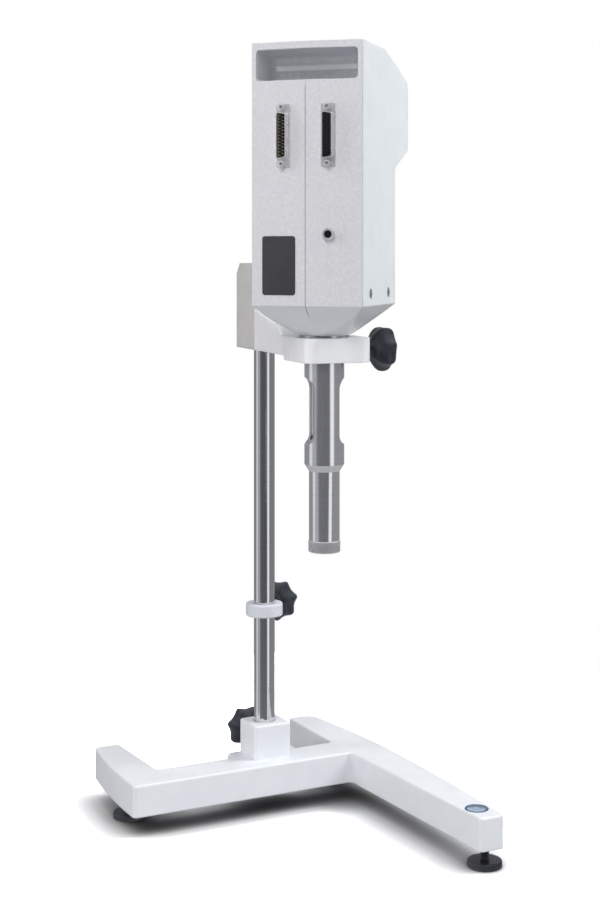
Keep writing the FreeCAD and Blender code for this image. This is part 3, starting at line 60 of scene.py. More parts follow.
# Floor: a plain white sheet under the feet, which takes the instrument's soft shadow from the
# lamps. For the camera a painted contact shadow is added: its colour darkens by ambient occlusion
# where the casting closes it in, and it is brighter away from it, where it runs into the white
# of the room. To everything else it is grey, so that it throws up less light.

floor_half = 0.6
floor_drop = 0.00005
near_reach = 0.25
far_reach = 0.7
near_white = (1.95, 1.95, 1.95, 1)
far_white = (3.0, 3.0, 3.0, 1)
# Painted contact shadow: ambient occlusion within this reach, raised to this power, darkens the
# floor's colour.
painted_shadow_reach = 0.045
painted_shadow_power = 2.1
painted_shadow_samples = 16
bounced_white = (0.42, 0.42, 0.43, 1)


def feed(tree, socket, value):
    """Link a socket to another node's output, or set it to a constant."""
    if isinstance(value, bpy.types.NodeSocket):
        tree.links.new(value, socket)
    else:
        socket.default_value = value


def reckoned(tree, kind, operation, values):
    """A node that works one thing out from one or more values."""
    node = tree.nodes.new(kind)
    node.operation = operation
    for socket, value in zip(node.inputs, values):
        feed(tree, socket, value)
    return node


def number(tree, operation, *values):
    """A sum on numbers."""
    return reckoned(tree, "ShaderNodeMath", operation, values).outputs[0]


def vector(tree, operation, *values):
    """A sum on vectors, whose result is a vector."""
    return reckoned(tree, "ShaderNodeVectorMath", operation, values).outputs["Vector"]


def measured(tree, operation, *values):
    """A length or a dot product of vectors, whose result is a number."""
    return reckoned(tree, "ShaderNodeVectorMath", operation, values).outputs["Value"]


def between(tree, value, low, high, start=0.0, end=1.0):
    """The start at a low value, the end at a high one, and a straight line from one to the other."""
    line = tree.nodes.new("ShaderNodeMapRange")
    tree.links.new(value, line.inputs["Value"])
    for socket, limit in (("From Min", low), ("From Max", high), ("To Min", start),
                          ("To Max", end)):
        line.inputs[socket].default_value = limit
    return line.outputs[0]


def mixed(tree, share, first, second):
    """A colour between two: the first at a share of nought, the second at one."""
    mix = tree.nodes.new("ShaderNodeMix")
    mix.data_type = "RGBA"
    for socket, value in ((0, share), (6, first), (7, second)):
        feed(tree, mix.inputs[socket], value)
    return mix.outputs[2]


floor_mesh = bpy.data.meshes.new("floor")
floor_mesh.from_pydata(
    [(-floor_half, -floor_half, -floor_drop), (floor_half, -floor_half, -floor_drop),
     (floor_half, floor_half, -floor_drop), (-floor_half, floor_half, -floor_drop)],
    [], [(0, 1, 2, 3)])
floor = bpy.data.objects.new("floor", floor_mesh)
bpy.context.scene.collection.objects.link(floor)
floor.visible_glossy = False
floor_with_painted_shadow = bpy.data.materials.new("floor white with painted shadow")
floor_with_painted_shadow.use_nodes = True
sheet_tree = floor_with_painted_shadow.node_tree
sheet_tree.nodes.clear()
spot_on_floor = sheet_tree.nodes.new("ShaderNodeTexCoord").outputs["Object"]
away = between(sheet_tree, measured(sheet_tree, "LENGTH", spot_on_floor), near_reach, far_reach)
# Painted shadow: the floor's colour for the camera is darkened by ambient occlusion under and round
# the casting.
painted_shadow_occlusion = sheet_tree.nodes.new("ShaderNodeAmbientOcclusion")
painted_shadow_occlusion.samples = painted_shadow_samples
painted_shadow_occlusion.inputs["Distance"].default_value = painted_shadow_reach
painted_shadow_openness = number(sheet_tree, "POWER", painted_shadow_occlusion.outputs["AO"], painted_shadow_power)
seen_white_with_painted_shadow = vector(sheet_tree, "MULTIPLY", mixed(sheet_tree, away, near_white, far_white),
                    painted_shadow_openness)
seen = sheet_tree.nodes.new("ShaderNodeBsdfDiffuse")
sheet_tree.links.new(seen_white_with_painted_shadow, seen.inputs["Color"])
bounced = sheet_tree.nodes.new("ShaderNodeBsdfDiffuse")
bounced.inputs["Color"].default_value = bounced_white
ray = sheet_tree.nodes.new("ShaderNodeLightPath")
choice = sheet_tree.nodes.new("ShaderNodeMixShader")
sheet_tree.links.new(ray.outputs["Is Camera Ray"], choice.inputs[0])
sheet_tree.links.new(bounced.outputs[0], choice.inputs[1])
sheet_tree.links.new(seen.outputs[0], choice.inputs[2])
surface = sheet_tree.nodes.new("ShaderNodeOutputMaterial")
sheet_tree.links.new(choice.outputs[0], surface.inputs["Surface"])
floor_mesh.materials.append(floor_with_painted_shadow)

# Room: an even soft light for painted surfaces, and white behind the object. Polished metal sees
# a ring of upright bands in it: dark towards the camera, between two tall bright strips.

room_light = (0.15, 0.153, 0.158, 1)
room_white = (1, 1, 1, 1)
overhead_light = (0.9, 0.9, 0.9, 1)
overhead_heights = (0.35, 0.85)
bench_light = (0.5, 0.5, 0.51, 1)
bench_heights = (-0.2, -0.6)
bluish = 1.05
# (share of a full turn, where a half is towards the camera and more is to its right; brightness)
room_bands = [
    (0.00, 0.36), (0.10, 0.27), (0.225, 0.25), (0.24, 0.82), (0.285, 0.82), (0.30, 0.38),
    (0.36, 0.44), (0.375, 0.20), (0.40, 0.12), (0.50, 0.10), (0.585, 0.11), (0.60, 1.0),
    (0.65, 1.0), (0.665, 0.24), (0.86, 0.26), (1.00, 0.36)]
world = bpy.data.worlds.new("room")
bpy.context.scene.world = world
world.use_nodes = True
room = world.node_tree
room.nodes.clear()
looked = room.nodes.new("ShaderNodeTexCoord").outputs["Generated"]
rightwards = measured(room, "DOT_PRODUCT", looked, (ahead[1], -ahead[0], 0.0))
backwards = measured(room, "DOT_PRODUCT", looked, (-ahead[0], -ahead[1], 0.0))
upwards = measured(room, "DOT_PRODUCT", looked, (0.0, 0.0, 1.0))
turn = number(room, "ARCTAN2", rightwards, backwards)
bands = room.nodes.new("ShaderNodeValToRGB")
room.links.new(between(room, turn, -math.pi, math.pi), bands.inputs[0])
for share, level in room_bands[1:-1]:
    bands.color_ramp.elements.new(share)
for element, (share, level) in zip(bands.color_ramp.elements, room_bands):
    element.color = (level, level, level * bluish, 1)
path = room.nodes.new("ShaderNodeLightPath")
under = mixed(room, between(room, upwards, *bench_heights), bands.outputs["Color"], bench_light)
mirrored = mixed(room, between(room, upwards, *overhead_heights), under, overhead_light)
lit = mixed(room, path.outputs["Is Glossy Ray"], room_light, mirrored)
straight = number(room, "MAXIMUM", path.outputs["Is Camera Ray"],
                  path.outputs["Is Transmission Ray"])
glow = room.nodes.new("ShaderNodeBackground")
room.links.new(mixed(room, straight, lit, room_white), glow.inputs["Color"])
room_out = room.nodes.new("ShaderNodeOutputWorld")
room.links.new(glow.outputs[0], room_out.inputs["Surface"])

# Lamps: softboxes on both sides, in front and above, and a weak low one by the camera. They
# shade the painted faces; polished metal doesn't see them, only the room's bands.

lamp_aim = (0.0, 0.0, 0.35)


def lamp(name, place, width, height, power, colour):
    """A rectangular softbox that faces the middle of the instrument."""
    light = bpy.data.lights.new(name, "AREA")
    light.shape = "RECTANGLE"
    light.size = width
    light.size_y = height
    light.energy = power
    light.color = colour
    box = bpy.data.objects.new(name, light)
    x, y, z = np.array(place) - np.array(lamp_aim)
    box.location = place
    box.rotation_euler = (math.atan2(math.hypot(x, y), z), 0, math.atan2(x, -y))
    bpy.context.scene.collection.objects.link(box)
    box.visible_glossy = False


lamp("right softbox", (0.75, -1.30, 0.90), 0.5, 1.4, 4.5, (0.97, 0.99, 1.0))
lamp("left softbox", (-1.35, 0.36, 0.90), 0.5, 1.4, 8.5, (1.0, 0.99, 1.0))
lamp("front softbox", (-0.95, -1.00, 1.35), 0.8, 0.8, 12.5, (1.0, 0.99, 0.99))
lamp("low front softbox", (-0.80, -1.25, 0.25), 0.5, 0.4, 4, (1.0, 0.99, 1.0))
lamp("side softbox", (1.40, -0.50, 1.50), 0.9, 0.9, 27, (0.98, 0.99, 1.0))
lamp("top softbox", (0.45, 0.45, 2.1), 1.4, 1.4, 5, (1.0, 1.0, 1.0))

# Base casting: one iron casting, powder coated white, with a fine orange peel in its coat.
# The solid's own mesh is kept: its flat faces are shaded flat and its curves smooth.

mm = 0.001
base_white = (236, 238, 242)
base_shade = (230, 233, 238)
base_gloss = (0.34, 0.46)
peel_scale = 420.0
peel_depth = 0.035 * mm
casting_crease = 32


def tone(colour):
    """A screen colour from 0 to 255 as the light that it stands for."""
    share = np.array(colour, float) / 255
    light = np.where(share <= 0.04045, share / 12.92, ((share + 0.055) / 1.055) ** 2.4)
    return (*light, 1)


def noise(tree, place, scale, detail):
    """A cloudy pattern of a given fineness, mostly between 0.3 and 0.7."""
    texture = tree.nodes.new("ShaderNodeTexNoise")
    texture.inputs["Scale"].default_value = scale
    texture.inputs["Detail"].default_value = detail
    tree.links.new(place, texture.inputs["Vector"])
    return texture.outputs["Fac"]


def finish(name, dark, light, gloss, grain, depth, metallic=0.0, patches=55.0,
           stretch=(1.0, 1.0, 1.0), edge=0.0):
    """A surface whose colour and roughness wander between two values over a relief of grain.

    Where an edge size is given, light runs round edges as if they were rounded by it.
    """
    low = 0.3
    high = 0.7
    material = bpy.data.materials.new(name)
    material.use_nodes = True
    tree = material.node_tree
    shader = tree.nodes["Principled BSDF"]
    shader.inputs["Metallic"].default_value = metallic
    place = tree.nodes.new("ShaderNodeTexCoord")
    mapping = tree.nodes.new("ShaderNodeMapping")
    mapping.inputs["Scale"].default_value = stretch
    tree.links.new(place.outputs["Object"], mapping.inputs["Vector"])
    wander = noise(tree, mapping.outputs[0], patches, 4)
    tones = tree.nodes.new("ShaderNodeValToRGB")
    tones.color_ramp.elements[0].position = low
    tones.color_ramp.elements[0].color = tone(dark)
    tones.color_ramp.elements[1].position = high
    tones.color_ramp.elements[1].color = tone(light)
    tree.links.new(wander, tones.inputs[0])
    tree.links.new(tones.outputs["Color"], shader.inputs["Base Color"])
    tree.links.new(between(tree, wander, low, high, *gloss), shader.inputs["Roughness"])
    bump = tree.nodes.new("ShaderNodeBump")
    bump.inputs["Distance"].default_value = depth
    tree.links.new(noise(tree, mapping.outputs[0], grain, 3), bump.inputs["Height"])
    tree.links.new(bump.outputs[0], shader.inputs["Normal"])
    if edge:
        rounding = tree.nodes.new("ShaderNodeBevel")
        rounding.samples = 8
        rounding.inputs["Radius"].default_value = edge
        tree.links.new(rounding.outputs[0], bump.inputs["Normal"])
    return material


def crease(piece, degrees):
    """Shade a piece smooth, with a crisp line at every edge sharper than an angle."""
    mesh = piece.data
    mesh.polygons.foreach_set("use_smooth", np.ones(len(mesh.polygons), bool))
    crisp = piece.modifiers.new("crisp", "EDGE_SPLIT")
    crisp.split_angle = math.radians(degrees)
    crisp.use_edge_sharp = False
    even = piece.modifiers.new("even", "WEIGHTED_NORMAL")
    even.keep_sharp = True


def dress(material, *nodes):
    """Give CAD nodes their finish, smooth over curves and crisp at their edges."""
    for name in nodes:
        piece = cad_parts[name]
        mesh = piece.data
        mesh.materials.clear()
        mesh.materials.append(material)
        if "custom_normal" in mesh.attributes:
            mesh.attributes.remove(mesh.attributes["custom_normal"])
        weld = piece.modifiers.new("weld", "WELD")
        weld.merge_threshold = 1e-6
        crease(piece, casting_crease)


base_paint = finish("base powder coat", base_shade, base_white, base_gloss, peel_scale, peel_depth,
                    edge=1.6 * mm)
dress(base_paint, "base_casting")

# Levelling feet: blackened steel discs with a rim that is fluted for the fingers, and the
# threaded studs that carry the casting on them. Both are grids of points turned about the
# stud's axis: the flutes are a cosine round the rim, and the thread is a V wound into a helix.

foot_spots = {"front_foot": (111.9, -156.75), "rear_foot": (101.9, 152.25),
              "left_foot": (-112.1, 98.25)}
foot_radius = 15
foot_turns = 240
foot_flutes = 48
flute_depth = 0.28
# (radius, height, share of the flutes' depth)
foot_rows = [
    (0, 0, 0), (13.6, 0, 0), (14.2, 0.15, 0), (foot_radius, 1, 1), (foot_radius, 3, 1),
    (foot_radius, 5, 1), (14.5, 5.6, 0.4), (13.9, 5.9, 0), (13.5, 6, 0), (5, 6, 0), (0, 6, 0)]
stud_pitch = 1.25
stud_thread_depth = 0.62
stud_bottom = 5.9
stud_top = 31.0
stud_radius = 4.0
stud_tip = 0.4
stud_tip_inset = 0.8
piece_crease = 35
blackened = finish("blackened steel", (62, 63, 70), (92, 93, 100), (0.26, 0.4), 900.0, 0.01 * mm,
                   metallic=0.8)


def lathe(profile, turns, shape=None):
    """A profile turned about z: each point's radius times the cosine and sine of each angle.

    The profile is (radius, height) pairs. A shape gives the radius anew from the radius, the
    height and the angle.
    """
    profile = np.array(profile, float)
    angle = np.linspace(0, 2 * math.pi, turns, endpoint=False)[None, :]
    reach = profile[:, :1] + 0 * angle
    height = profile[:, 1:2] + 0 * angle
    if shape is not None:
        reach = shape(reach, height, angle)
    return np.stack([reach * np.cos(angle), reach * np.sin(angle), height], -1)


def fluted(rows, factor):
    """A lathe of (radius, height, share) rows: one and a share of a factor that runs round them."""
    rows = np.array(rows, float)
    grid = lathe(rows[:, :2], len(factor))
    grid[..., :2] *= (1 + rows[:, 2:3] * factor)[..., None]
    return grid


def screw_thread(pitch, depth):
    """A V thread: the radius falls and rises once per pitch, and the angle winds it into a helix."""
    def shape(reach, height, angle):
        phase = (height / pitch - angle / (2 * math.pi)) % 1
        return reach - depth * np.abs(2 * phase - 1) * (reach > 0)
    return shape


def upright(x, y):
    """A place on the ground whose third direction is up."""
    return np.array([x, y, 0.0]), np.eye(3)


def put(grid, place):
    """Carry local millimetres to a place in the object's frame, in metres."""
    origin, directions = place
    return (origin + np.asarray(grid, float) @ directions) * mm


def make_piece(name, sheets, material, body, material_slot, *stands_for):
    """One mesh from sheets of points whose columns close on themselves; poles are merged."""
    points = []
    faces = []
    for sheet in sheets:
        rows, columns = sheet.shape[:2]
        index = np.arange(rows * columns).reshape(rows, columns) + sum(map(len, points))
        right = np.roll(index, -1, axis=1)
        quads = np.stack([index[:-1], right[:-1], right[1:], index[1:]], -1)
        points.append(sheet.reshape(-1, 3))
        faces.append(quads.reshape(-1, 4))
    mesh = bpy.data.meshes.new(name)
    mesh.from_pydata(np.concatenate(points).tolist(), [], np.concatenate(faces).tolist())
    work = bmesh.new()
    work.from_mesh(mesh)
    bmesh.ops.remove_doubles(work, verts=work.verts, dist=1e-7)
    bmesh.ops.dissolve_degenerate(work, dist=1e-8, edges=work.edges)
    bmesh.ops.recalc_face_normals(work, faces=work.faces)
    work.to_mesh(mesh)
    work.free()
    mesh.materials.append(material)
    piece = bpy.data.objects.new(name, mesh)
    bpy.context.scene.collection.objects.link(piece)
    crease(piece, piece_crease)
    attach(piece, body)
    if stands_for:
        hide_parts(*stands_for)


rim_angle = np.linspace(0, 2 * math.pi, foot_turns, endpoint=False)
flutes = flute_depth * (0.5 + 0.5 * np.cos(foot_flutes * rim_angle))
foot_disc = fluted(foot_rows, -flutes / foot_radius)
stud_rows = [(0, stud_bottom)] + [
    (stud_radius, z) for z in np.linspace(stud_bottom, stud_top, 161)] + [
    (stud_radius - stud_tip_inset, stud_top + stud_tip), (0, stud_top + stud_tip)]
foot_stud = lathe(stud_rows, 48, screw_thread(stud_pitch, stud_thread_depth))
for foot, (x, y) in foot_spots.items():
    spot = upright(x, y)
    make_piece(foot + "_dial", [put(foot_disc, spot)], blackened, foot, "dark_steel",
               foot + "_disc")
    make_piece(foot + "_screw", [put(foot_stud, spot)], blackened, foot, "dark_steel",
               foot + "_stud")

# Circular level, sunk in the toe of the long leg: a blue anodised cup, a pale fluid with its
# bubble under a clear glass, and a ring printed on the glass to centre the bubble by.

level_spot = upright(109.3, -148.25)
cup_rows = [(0, 38.1), (9.9, 38.1), (9.9, 46.4), (10, 46.7), (10, 47.1), (9.8, 47.4),
            (9.2, 47.4), (8.8, 47.1), (8.8, 40.2), (0, 40.2)]
bubble_rows = [(0, 45.35), (1.6, 45.2), (2.5, 44.8), (2.8, 44.3), (2.4, 43.9), (1.4, 43.6),
               (0, 43.5)]
mark_rows = [(3.5, 47.385), (3.5, 47.4), (3.9, 47.4), (3.9, 47.385), (3.5, 47.385)]
glass_alpha = 0.2
level_blue = finish("blue anodised", (52, 84, 128), (70, 104, 148), (0.22, 0.34), 1400.0,
                    0.008 * mm, metallic=0.7)
level_liquid = finish("level fluid", (150, 186, 214), (168, 200, 224), (0.1, 0.16), 300.0,
                      0.004 * mm)
bubble_air = finish("bubble", (226, 238, 246), (238, 246, 250), (0.08, 0.12), 300.0, 0.004 * mm)
level_clear = finish("level glass", (240, 248, 252), (248, 252, 255), (0.02, 0.05), 500.0,
                     0.002 * mm)
level_clear.node_tree.nodes["Principled BSDF"].inputs["Alpha"].default_value = glass_alpha
mark_black = finish("printed ring", (24, 30, 40), (34, 40, 52), (0.4, 0.5), 900.0, 0.004 * mm)
make_piece("level_cup", [put(lathe(cup_rows, 96), level_spot)], level_blue, "base",
           "level_metal", "level_body")
make_piece("level_bubble", [put(lathe(bubble_rows, 48), level_spot)], bubble_air, "base",
           "level_fluid")
make_piece("level_ring_mark", [put(lathe(mark_rows, 64), level_spot)], mark_black, "base",
           "level_glass")
dress(level_liquid, "level_fluid")
dress(level_clear, "level_glass")

# Column: a steel rod, ground and polished, with fine marks round it from the grinding. It stands
# in the boss of the casting and is held there by the base's clamp knob.

column_x = 17.9
column_y = 78.25
column_spot = upright(column_x, column_y)
column_rows = [(0, 24.5), (9.4, 24.5), (10, 25.1), (10, 180), (10, 350), (10, 518.3),
               (9.9, 518.8), (9.5, 519.3), (9.0, 519.5), (0, 519.5)]
polished = finish("polished steel", (216, 217, 220), (224, 225, 228), (0.09, 0.13), 60.0,
                  0.0004 * mm, metallic=1.0, stretch=(0.3, 0.3, 30.0))
make_piece("column", [put(lathe(column_rows, 256), column_spot)], polished, "column",
           "polished_steel", "column_rod")

# Stop collar: a turned steel ring with rounded edges, painted a cooler white than the arm. It
# slides on the column and carries the arm's weight when its knob is tight.

collar_rows = [
    (10.05, 179.0), (10.6, 178.5), (15.9, 178.5), (16.7, 178.7), (17.3, 179.3), (17.5, 180.1),
    (17.5, 188.9), (17.3, 189.7), (16.7, 190.3), (15.9, 190.5), (10.6, 190.5), (10.05, 190.0),
    (10.05, 179.0)]
collar_paint = finish("collar paint", (210, 213, 220), (220, 223, 229), (0.38, 0.52), 600.0,
                      0.04 * mm)
make_piece("collar_ring", [put(lathe(collar_rows, 160), column_spot)], collar_paint, "collar",
           "arm_paint", "stop_collar")

# Star knobs: black moulded plastic, each a hub that flares into a head with seven lobes, on a
# steel clamp screw. The rim is a circle cut by seven round scallops, and the lower of the two
# reaches is taken softly, so that the lobe tips are blended.

# (radius, height, share of the lobes)
knob_rows = [
    (0, 0.0, 0.0), (7.9, 0.0, 0.0), (8.3, 0.2, 0.0), (8.5, 0.8, 0.05), (8.8, 3.0, 0.1),
    (9.4, 5.4, 0.2), (11.4, 6.4, 0.4), (14.2, 8.0, 0.7), (17.0, 10.2, 0.9), (18.9, 12.6, 1.0),
    (19.8, 15.0, 1.0), (20.0, 17.4, 1.0), (19.8, 19.6, 1.0), (19.2, 21.6, 1.0),
    (17.9, 23.4, 0.95), (16.2, 24.6, 0.8), (14.2, 25.4, 0.6), (12.5, 25.8, 0.4),
    (11.0, 26.0, 0.2), (5.5, 26.0, 0.0), (5.1, 25.9, 0.0), (4.9, 25.6, 0.0),
    (4.7, 25.25, 0.0), (4.3, 25.2, 0.0), (0, 25.2, 0.0)]
knob_radius = 20.0
scallop_distance = 33.2
scallop_radius = 16.2
lobe_softness = 1.8
lobes = 7
knob_turns = 280
head_x = -4.64
head_y = -84.19
behind_boss = (0.0, 1.0, 0.0)
beside_collar = (0.7071, 0.7071, 0.0)
beside_arm = (0.9905, -0.1374, 0.0)
# (what it clamps, the axis there, reach from that axis, height, direction)
knob_places = [
    ("base", (column_x, column_y), 21.0, 62.0, behind_boss),
    ("collar", (column_x, column_y), 23.0, 184.5, beside_collar),
    ("arm", (column_x, column_y), 24.0, 490.0, beside_arm),
    ("head", (head_x, head_y), 36.7, 441.0, beside_arm)]
black_plastic = finish("black moulded plastic", (33, 36, 44), (44, 48, 57), (0.24, 0.36), 800.0,
                       0.02 * mm)


def outward(x, y, z, out):
    """A place whose third direction points out of an upright face and whose second is upwards."""
    out = np.array(out, float)
    top = np.array([0.0, 0.0, 1.0])
    return np.array([x, y, z], float), np.array([np.cross(top, out), top, out])


def lobed(angle):
    """The rim's reach at each angle, as a share of the circle's radius.

    Off a scallop's middle the reach to its near wall is the scallop's distance times the cosine,
    less the root of its radius squared less the distance times the sine squared.
    """
    off_scallop = (angle - math.pi / 2 + math.pi / lobes) % (2 * math.pi / lobes) - math.pi / lobes
    under_root = scallop_radius ** 2 - (scallop_distance * np.sin(off_scallop)) ** 2
    near_wall = scallop_distance * np.cos(off_scallop) - np.sqrt(np.maximum(under_root, 0))
    scallop = np.where(under_root > 0, near_wall, 2 * knob_radius)
    weight = np.clip(0.5 + 0.5 * (scallop - knob_radius) / lobe_softness, 0, 1)
    softly_lower = (scallop + (knob_radius - scallop) * weight
                    - lobe_softness * weight * (1 - weight))
    return softly_lower / knob_radius


knob = fluted(knob_rows, lobed(np.linspace(0, 2 * math.pi, knob_turns, endpoint=False)) - 1)
for held, (x, y), reach, height, out in knob_places:
    place = outward(x + reach * out[0], y + reach * out[1], height, out)
    make_piece(held + "_star_knob", [put(knob, place)], black_plastic, held + "_knob",
               "black_plastic", held + "_clamp_knob")
dress(polished, "base_clamp_screw", "collar_clamp_screw", "arm_clamp_screw", "head_clamp_screw")

# Clamp block and support arm: a grey painted block that slides on the column, and the cast arm
# in textured off-white with its clamp ring. Two socket screws hold them together from behind.

arm_white = (238, 239, 241)
arm_shade = (230, 231, 234)
block_round = 4.5
block_corner = 40
arm_paint = finish("arm paint", arm_shade, arm_white, (0.38, 0.55), 600.0, 0.06 * mm,
                   edge=1.2 * mm)
block_paint = finish("block paint", (196, 195, 192), (206, 205, 202), (0.4, 0.55), 600.0,
                     0.03 * mm, edge=3.0 * mm)
dress(block_paint, "column_clamp_block")
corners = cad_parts["column_clamp_block"].modifiers.new("corners", "BEVEL")
corners.width = block_round * mm
corners.segments = 5
corners.limit_method = "ANGLE"
corners.angle_limit = math.radians(block_corner)
dress(arm_paint, "support_arm")
dress(blackened, "arm_fixing_screws")

# Neck: a thin turned steel flange, which sits on the clamp ring under the lower housing, and the
# bronze bush that is pressed into it and guides the drive shaft.

flange_steel = finish("flange steel", (168, 171, 176), (196, 199, 204), (0.2, 0.32), 300.0,
                      0.006 * mm, metallic=0.9, stretch=(0.5, 0.5, 12.0))
bush_bronze = finish("bush bronze", (176, 140, 84), (196, 160, 100), (0.25, 0.35), 400.0,
                     0.006 * mm, metallic=1.0)
dress(flange_steel, "neck_flange")
dress(bush_bronze, "guide_bush")

# Head covers: bent sheet, smooth satin white on the sides, roof, hood and lower housing. The rear
# plate has a wrinkled coat and a fine seam down its ridge. The grip recess is a grey moulding
# behind its mouth, with a painted highlight: a bright strip painted along its back wall.

cover_white = (232, 236, 238)
cover_shade = (227, 231, 234)
panel_white = (216, 216, 220)
panel_shade = (204, 204, 209)
liner_grey = (212, 214, 218)
liner_shade = (196, 198, 203)
head_turn = math.radians(-45.5)
seam_grey = (138, 138, 143)
seam_half = 0.16
seam_fade = 0.35
seam_bottom = 474.0
seam_top = 662.0
seam_end_fade = 6.0
# (how far behind the head's axis the middle of the painted stretch is, half its depth, its fade)
seam_stretch = (60.0, 45.0, 0.2)
# Painted highlight: a near-white strip of colour across the recess's back wall, at this height, half
# width and fade.
painted_highlight_white = (0.97, 0.98, 0.99, 1)
painted_highlight_height = 683.2
painted_highlight_half = 1.2
painted_highlight_fade = 1.8
painted_highlight_stretch = (4.0, 6.0, 0.5)
cover_paint = finish("cover paint", cover_shade, cover_white, (0.3, 0.4), 500.0, 0.015 * mm,
                     edge=1.2 * mm)
funnel_paint = finish("lower housing paint", cover_shade, cover_white, (0.3, 0.4), 500.0,
                      0.015 * mm, edge=0.9 * mm)
panel_paint = finish("wrinkle paint", panel_shade, panel_white, (0.34, 0.48), 400.0, 0.26 * mm,
                     patches=420.0, edge=1.0 * mm)
liner = finish("recess liner", liner_shade, liner_grey, (0.5, 0.7), 1100.0, 0.08 * mm,
               patches=300.0)


def from_head_axis(tree):
    """Where a point of the surface is, from the foot of the axis that the head turns about."""
    spot = tree.nodes.new("ShaderNodeTexCoord").outputs["Object"]
    return vector(tree, "SUBTRACT", spot, np.array([head_x, head_y, 0]) * mm)


def head_mask(material, direction, centre, half, fade):
    """One within half a width of a plane across a direction, nought from the fade's far side on."""
    tree = material.node_tree
    along = measured(tree, "DOT_PRODUCT", from_head_axis(tree), direction)
    distance = number(tree, "ABSOLUTE", number(tree, "SUBTRACT", along, centre * mm))
    return between(tree, distance, (half + fade) * mm, half * mm)


def tint(material, masks, colour):
    """Lay a colour over the finish where every mask is one."""
    tree = material.node_tree
    shader = tree.nodes["Principled BSDF"]
    before = shader.inputs["Base Color"].links[0].from_socket
    where = masks[0]
    for mask in masks[1:]:
        where = number(tree, "MULTIPLY", where, mask)
    tree.links.new(mixed(tree, where, before, colour), shader.inputs["Base Color"])


across_head = (math.cos(head_turn), math.sin(head_turn), 0)
behind_head = (math.sin(head_turn), -math.cos(head_turn), 0)
straight_up = (0, 0, 1)
for painted in (panel_paint, funnel_paint):
    tint(painted, [head_mask(painted, across_head, 0, seam_half, seam_fade),
                   head_mask(painted, straight_up, (seam_top + seam_bottom) / 2,
                             (seam_top - seam_bottom) / 2, seam_end_fade),
                   head_mask(painted, behind_head, *seam_stretch)], tone(seam_grey))
# Painted highlight: the liner is tinted near white in a strip across the recess's back wall.
tint(liner, [head_mask(liner, straight_up, painted_highlight_height, painted_highlight_half, painted_highlight_fade),
             head_mask(liner, behind_head, *painted_highlight_stretch)], painted_highlight_white)
dress(cover_paint, "front_cover")
dress(funnel_paint, "lower_housing")
dress(panel_paint, "rear_cover")
dress(liner, "grip_recess")

# Two connectors with 25 ways: nickel-plated shells with a rounded D rim on a flange, held to the
# rear plate by hexagonal jacks. Their inserts are black, with gold pins in the left one and
# sockets in the right one.

panel_slope = math.radians(4.5)
panel_ridge = 53.8
connector_offset = 19.5
connector_height = 622.0
flange_half_width = 6.275
flange_half_length = 26.52
flange_round = 2.0
# (inset of the outline, height above the panel)
flange_steps = [(0.15, 0.0), (0.0, 0.15), (0.0, 0.72), (0.18, 0.9)]
rim_half = 4.18
rim_long = 19.48
rim_short = 18.01
rim_round = 1.9
rim_steps = [(-0.9, 0.88), (-0.45, 1.0), (-0.15, 1.3), (0.0, 1.8), (0.0, 6.5), (0.08, 6.75),
             (0.2, 6.88), (0.3, 6.88), (0.42, 6.75), (0.5, 6.5), (0.5, 1.2), (0.5, 0.88),
             (-0.9, 0.88)]
contact_pitch = 2.76
contact_row = 1.42
contacts_long = 13
contacts_short = 12
pin_rows = [(0, 1.7), (0.5, 1.7), (0.5, 5.7), (0.42, 6.05), (0.25, 6.3), (0, 6.4)]
jack_apart = 47.04
jack_half_flats = 2.5
jack_hole = 1.3
jack_groove = 0.12
jack_groove_step = 0.2
jack_grooves = 18
jack_outside = [(0, 0.9), (3.0, 0.9), (3.0, 6.3), (2.65, 6.75), (2.3, 6.9), (1.6, 6.9),
                (jack_hole, 6.6)]
jack_groove_top = 6.5
jack_hole_bottom = 2.8
nickel = finish("nickel plate", (222, 223, 224), (236, 236, 236), (0.24, 0.36), 700.0,
                0.006 * mm, metallic=0.62)
gold = finish("contact gold", (196, 182, 152), (214, 200, 172), (0.24, 0.34), 900.0, 0.004 * mm,
              metallic=0.7)
insulator = finish("insulator", (16, 16, 18), (26, 26, 29), (0.4, 0.55), 900.0, 0.012 * mm)


def on_head(across, along, height, facing):
    """A place on the head, across and along its own directions, facing an angle off its right."""
    x = head_x + across * math.cos(head_turn) - along * math.sin(head_turn)
    y = head_y + across * math.sin(head_turn) + along * math.cos(head_turn)
    turned = head_turn + facing
    return outward(x, y, height, (math.cos(turned), math.sin(turned), 0))


def on_panel(offset, height, side):
    """A place on the outer face of the left (-1) or right (1) rear panel."""
    return on_head(offset * side, offset * math.tan(panel_slope) - panel_ridge, height,
                   panel_slope * side - math.pi / 2)


def rounded(corners, radius, steps):
    """An outline with each corner of a polygon turned to an arc of the given radius.

    An arc's centre lies on the corner's bisector, the radius over the sine of half the corner's
    angle away. Its points swing from one side to the other: two spokes, each weighed by the sine
    of the swing that is left to the other.
    """
    corners = np.array(corners, float)
    before = np.roll(corners, 1, axis=0) - corners
    after = np.roll(corners, -1, axis=0) - corners
    before /= np.linalg.norm(before, axis=1, keepdims=True)
    after /= np.linalg.norm(after, axis=1, keepdims=True)
    half = np.arccos(np.sum(before * after, axis=1, keepdims=True)) / 2
    middle = before + after
    middle *= radius / np.sin(half) / np.linalg.norm(middle, axis=1, keepdims=True)
    start = (before * radius / np.tan(half) - middle)[:, None]
    end = (after * radius / np.tan(half) - middle)[:, None]
    swing = (math.pi - 2 * half)[:, None]
    share = np.linspace(0, 1, steps)[None, :, None]
    arcs = (np.sin((1 - share) * swing) * start + np.sin(share * swing) * end) / np.sin(swing)
    return ((corners + middle)[:, None] + arcs).reshape(-1, 2)


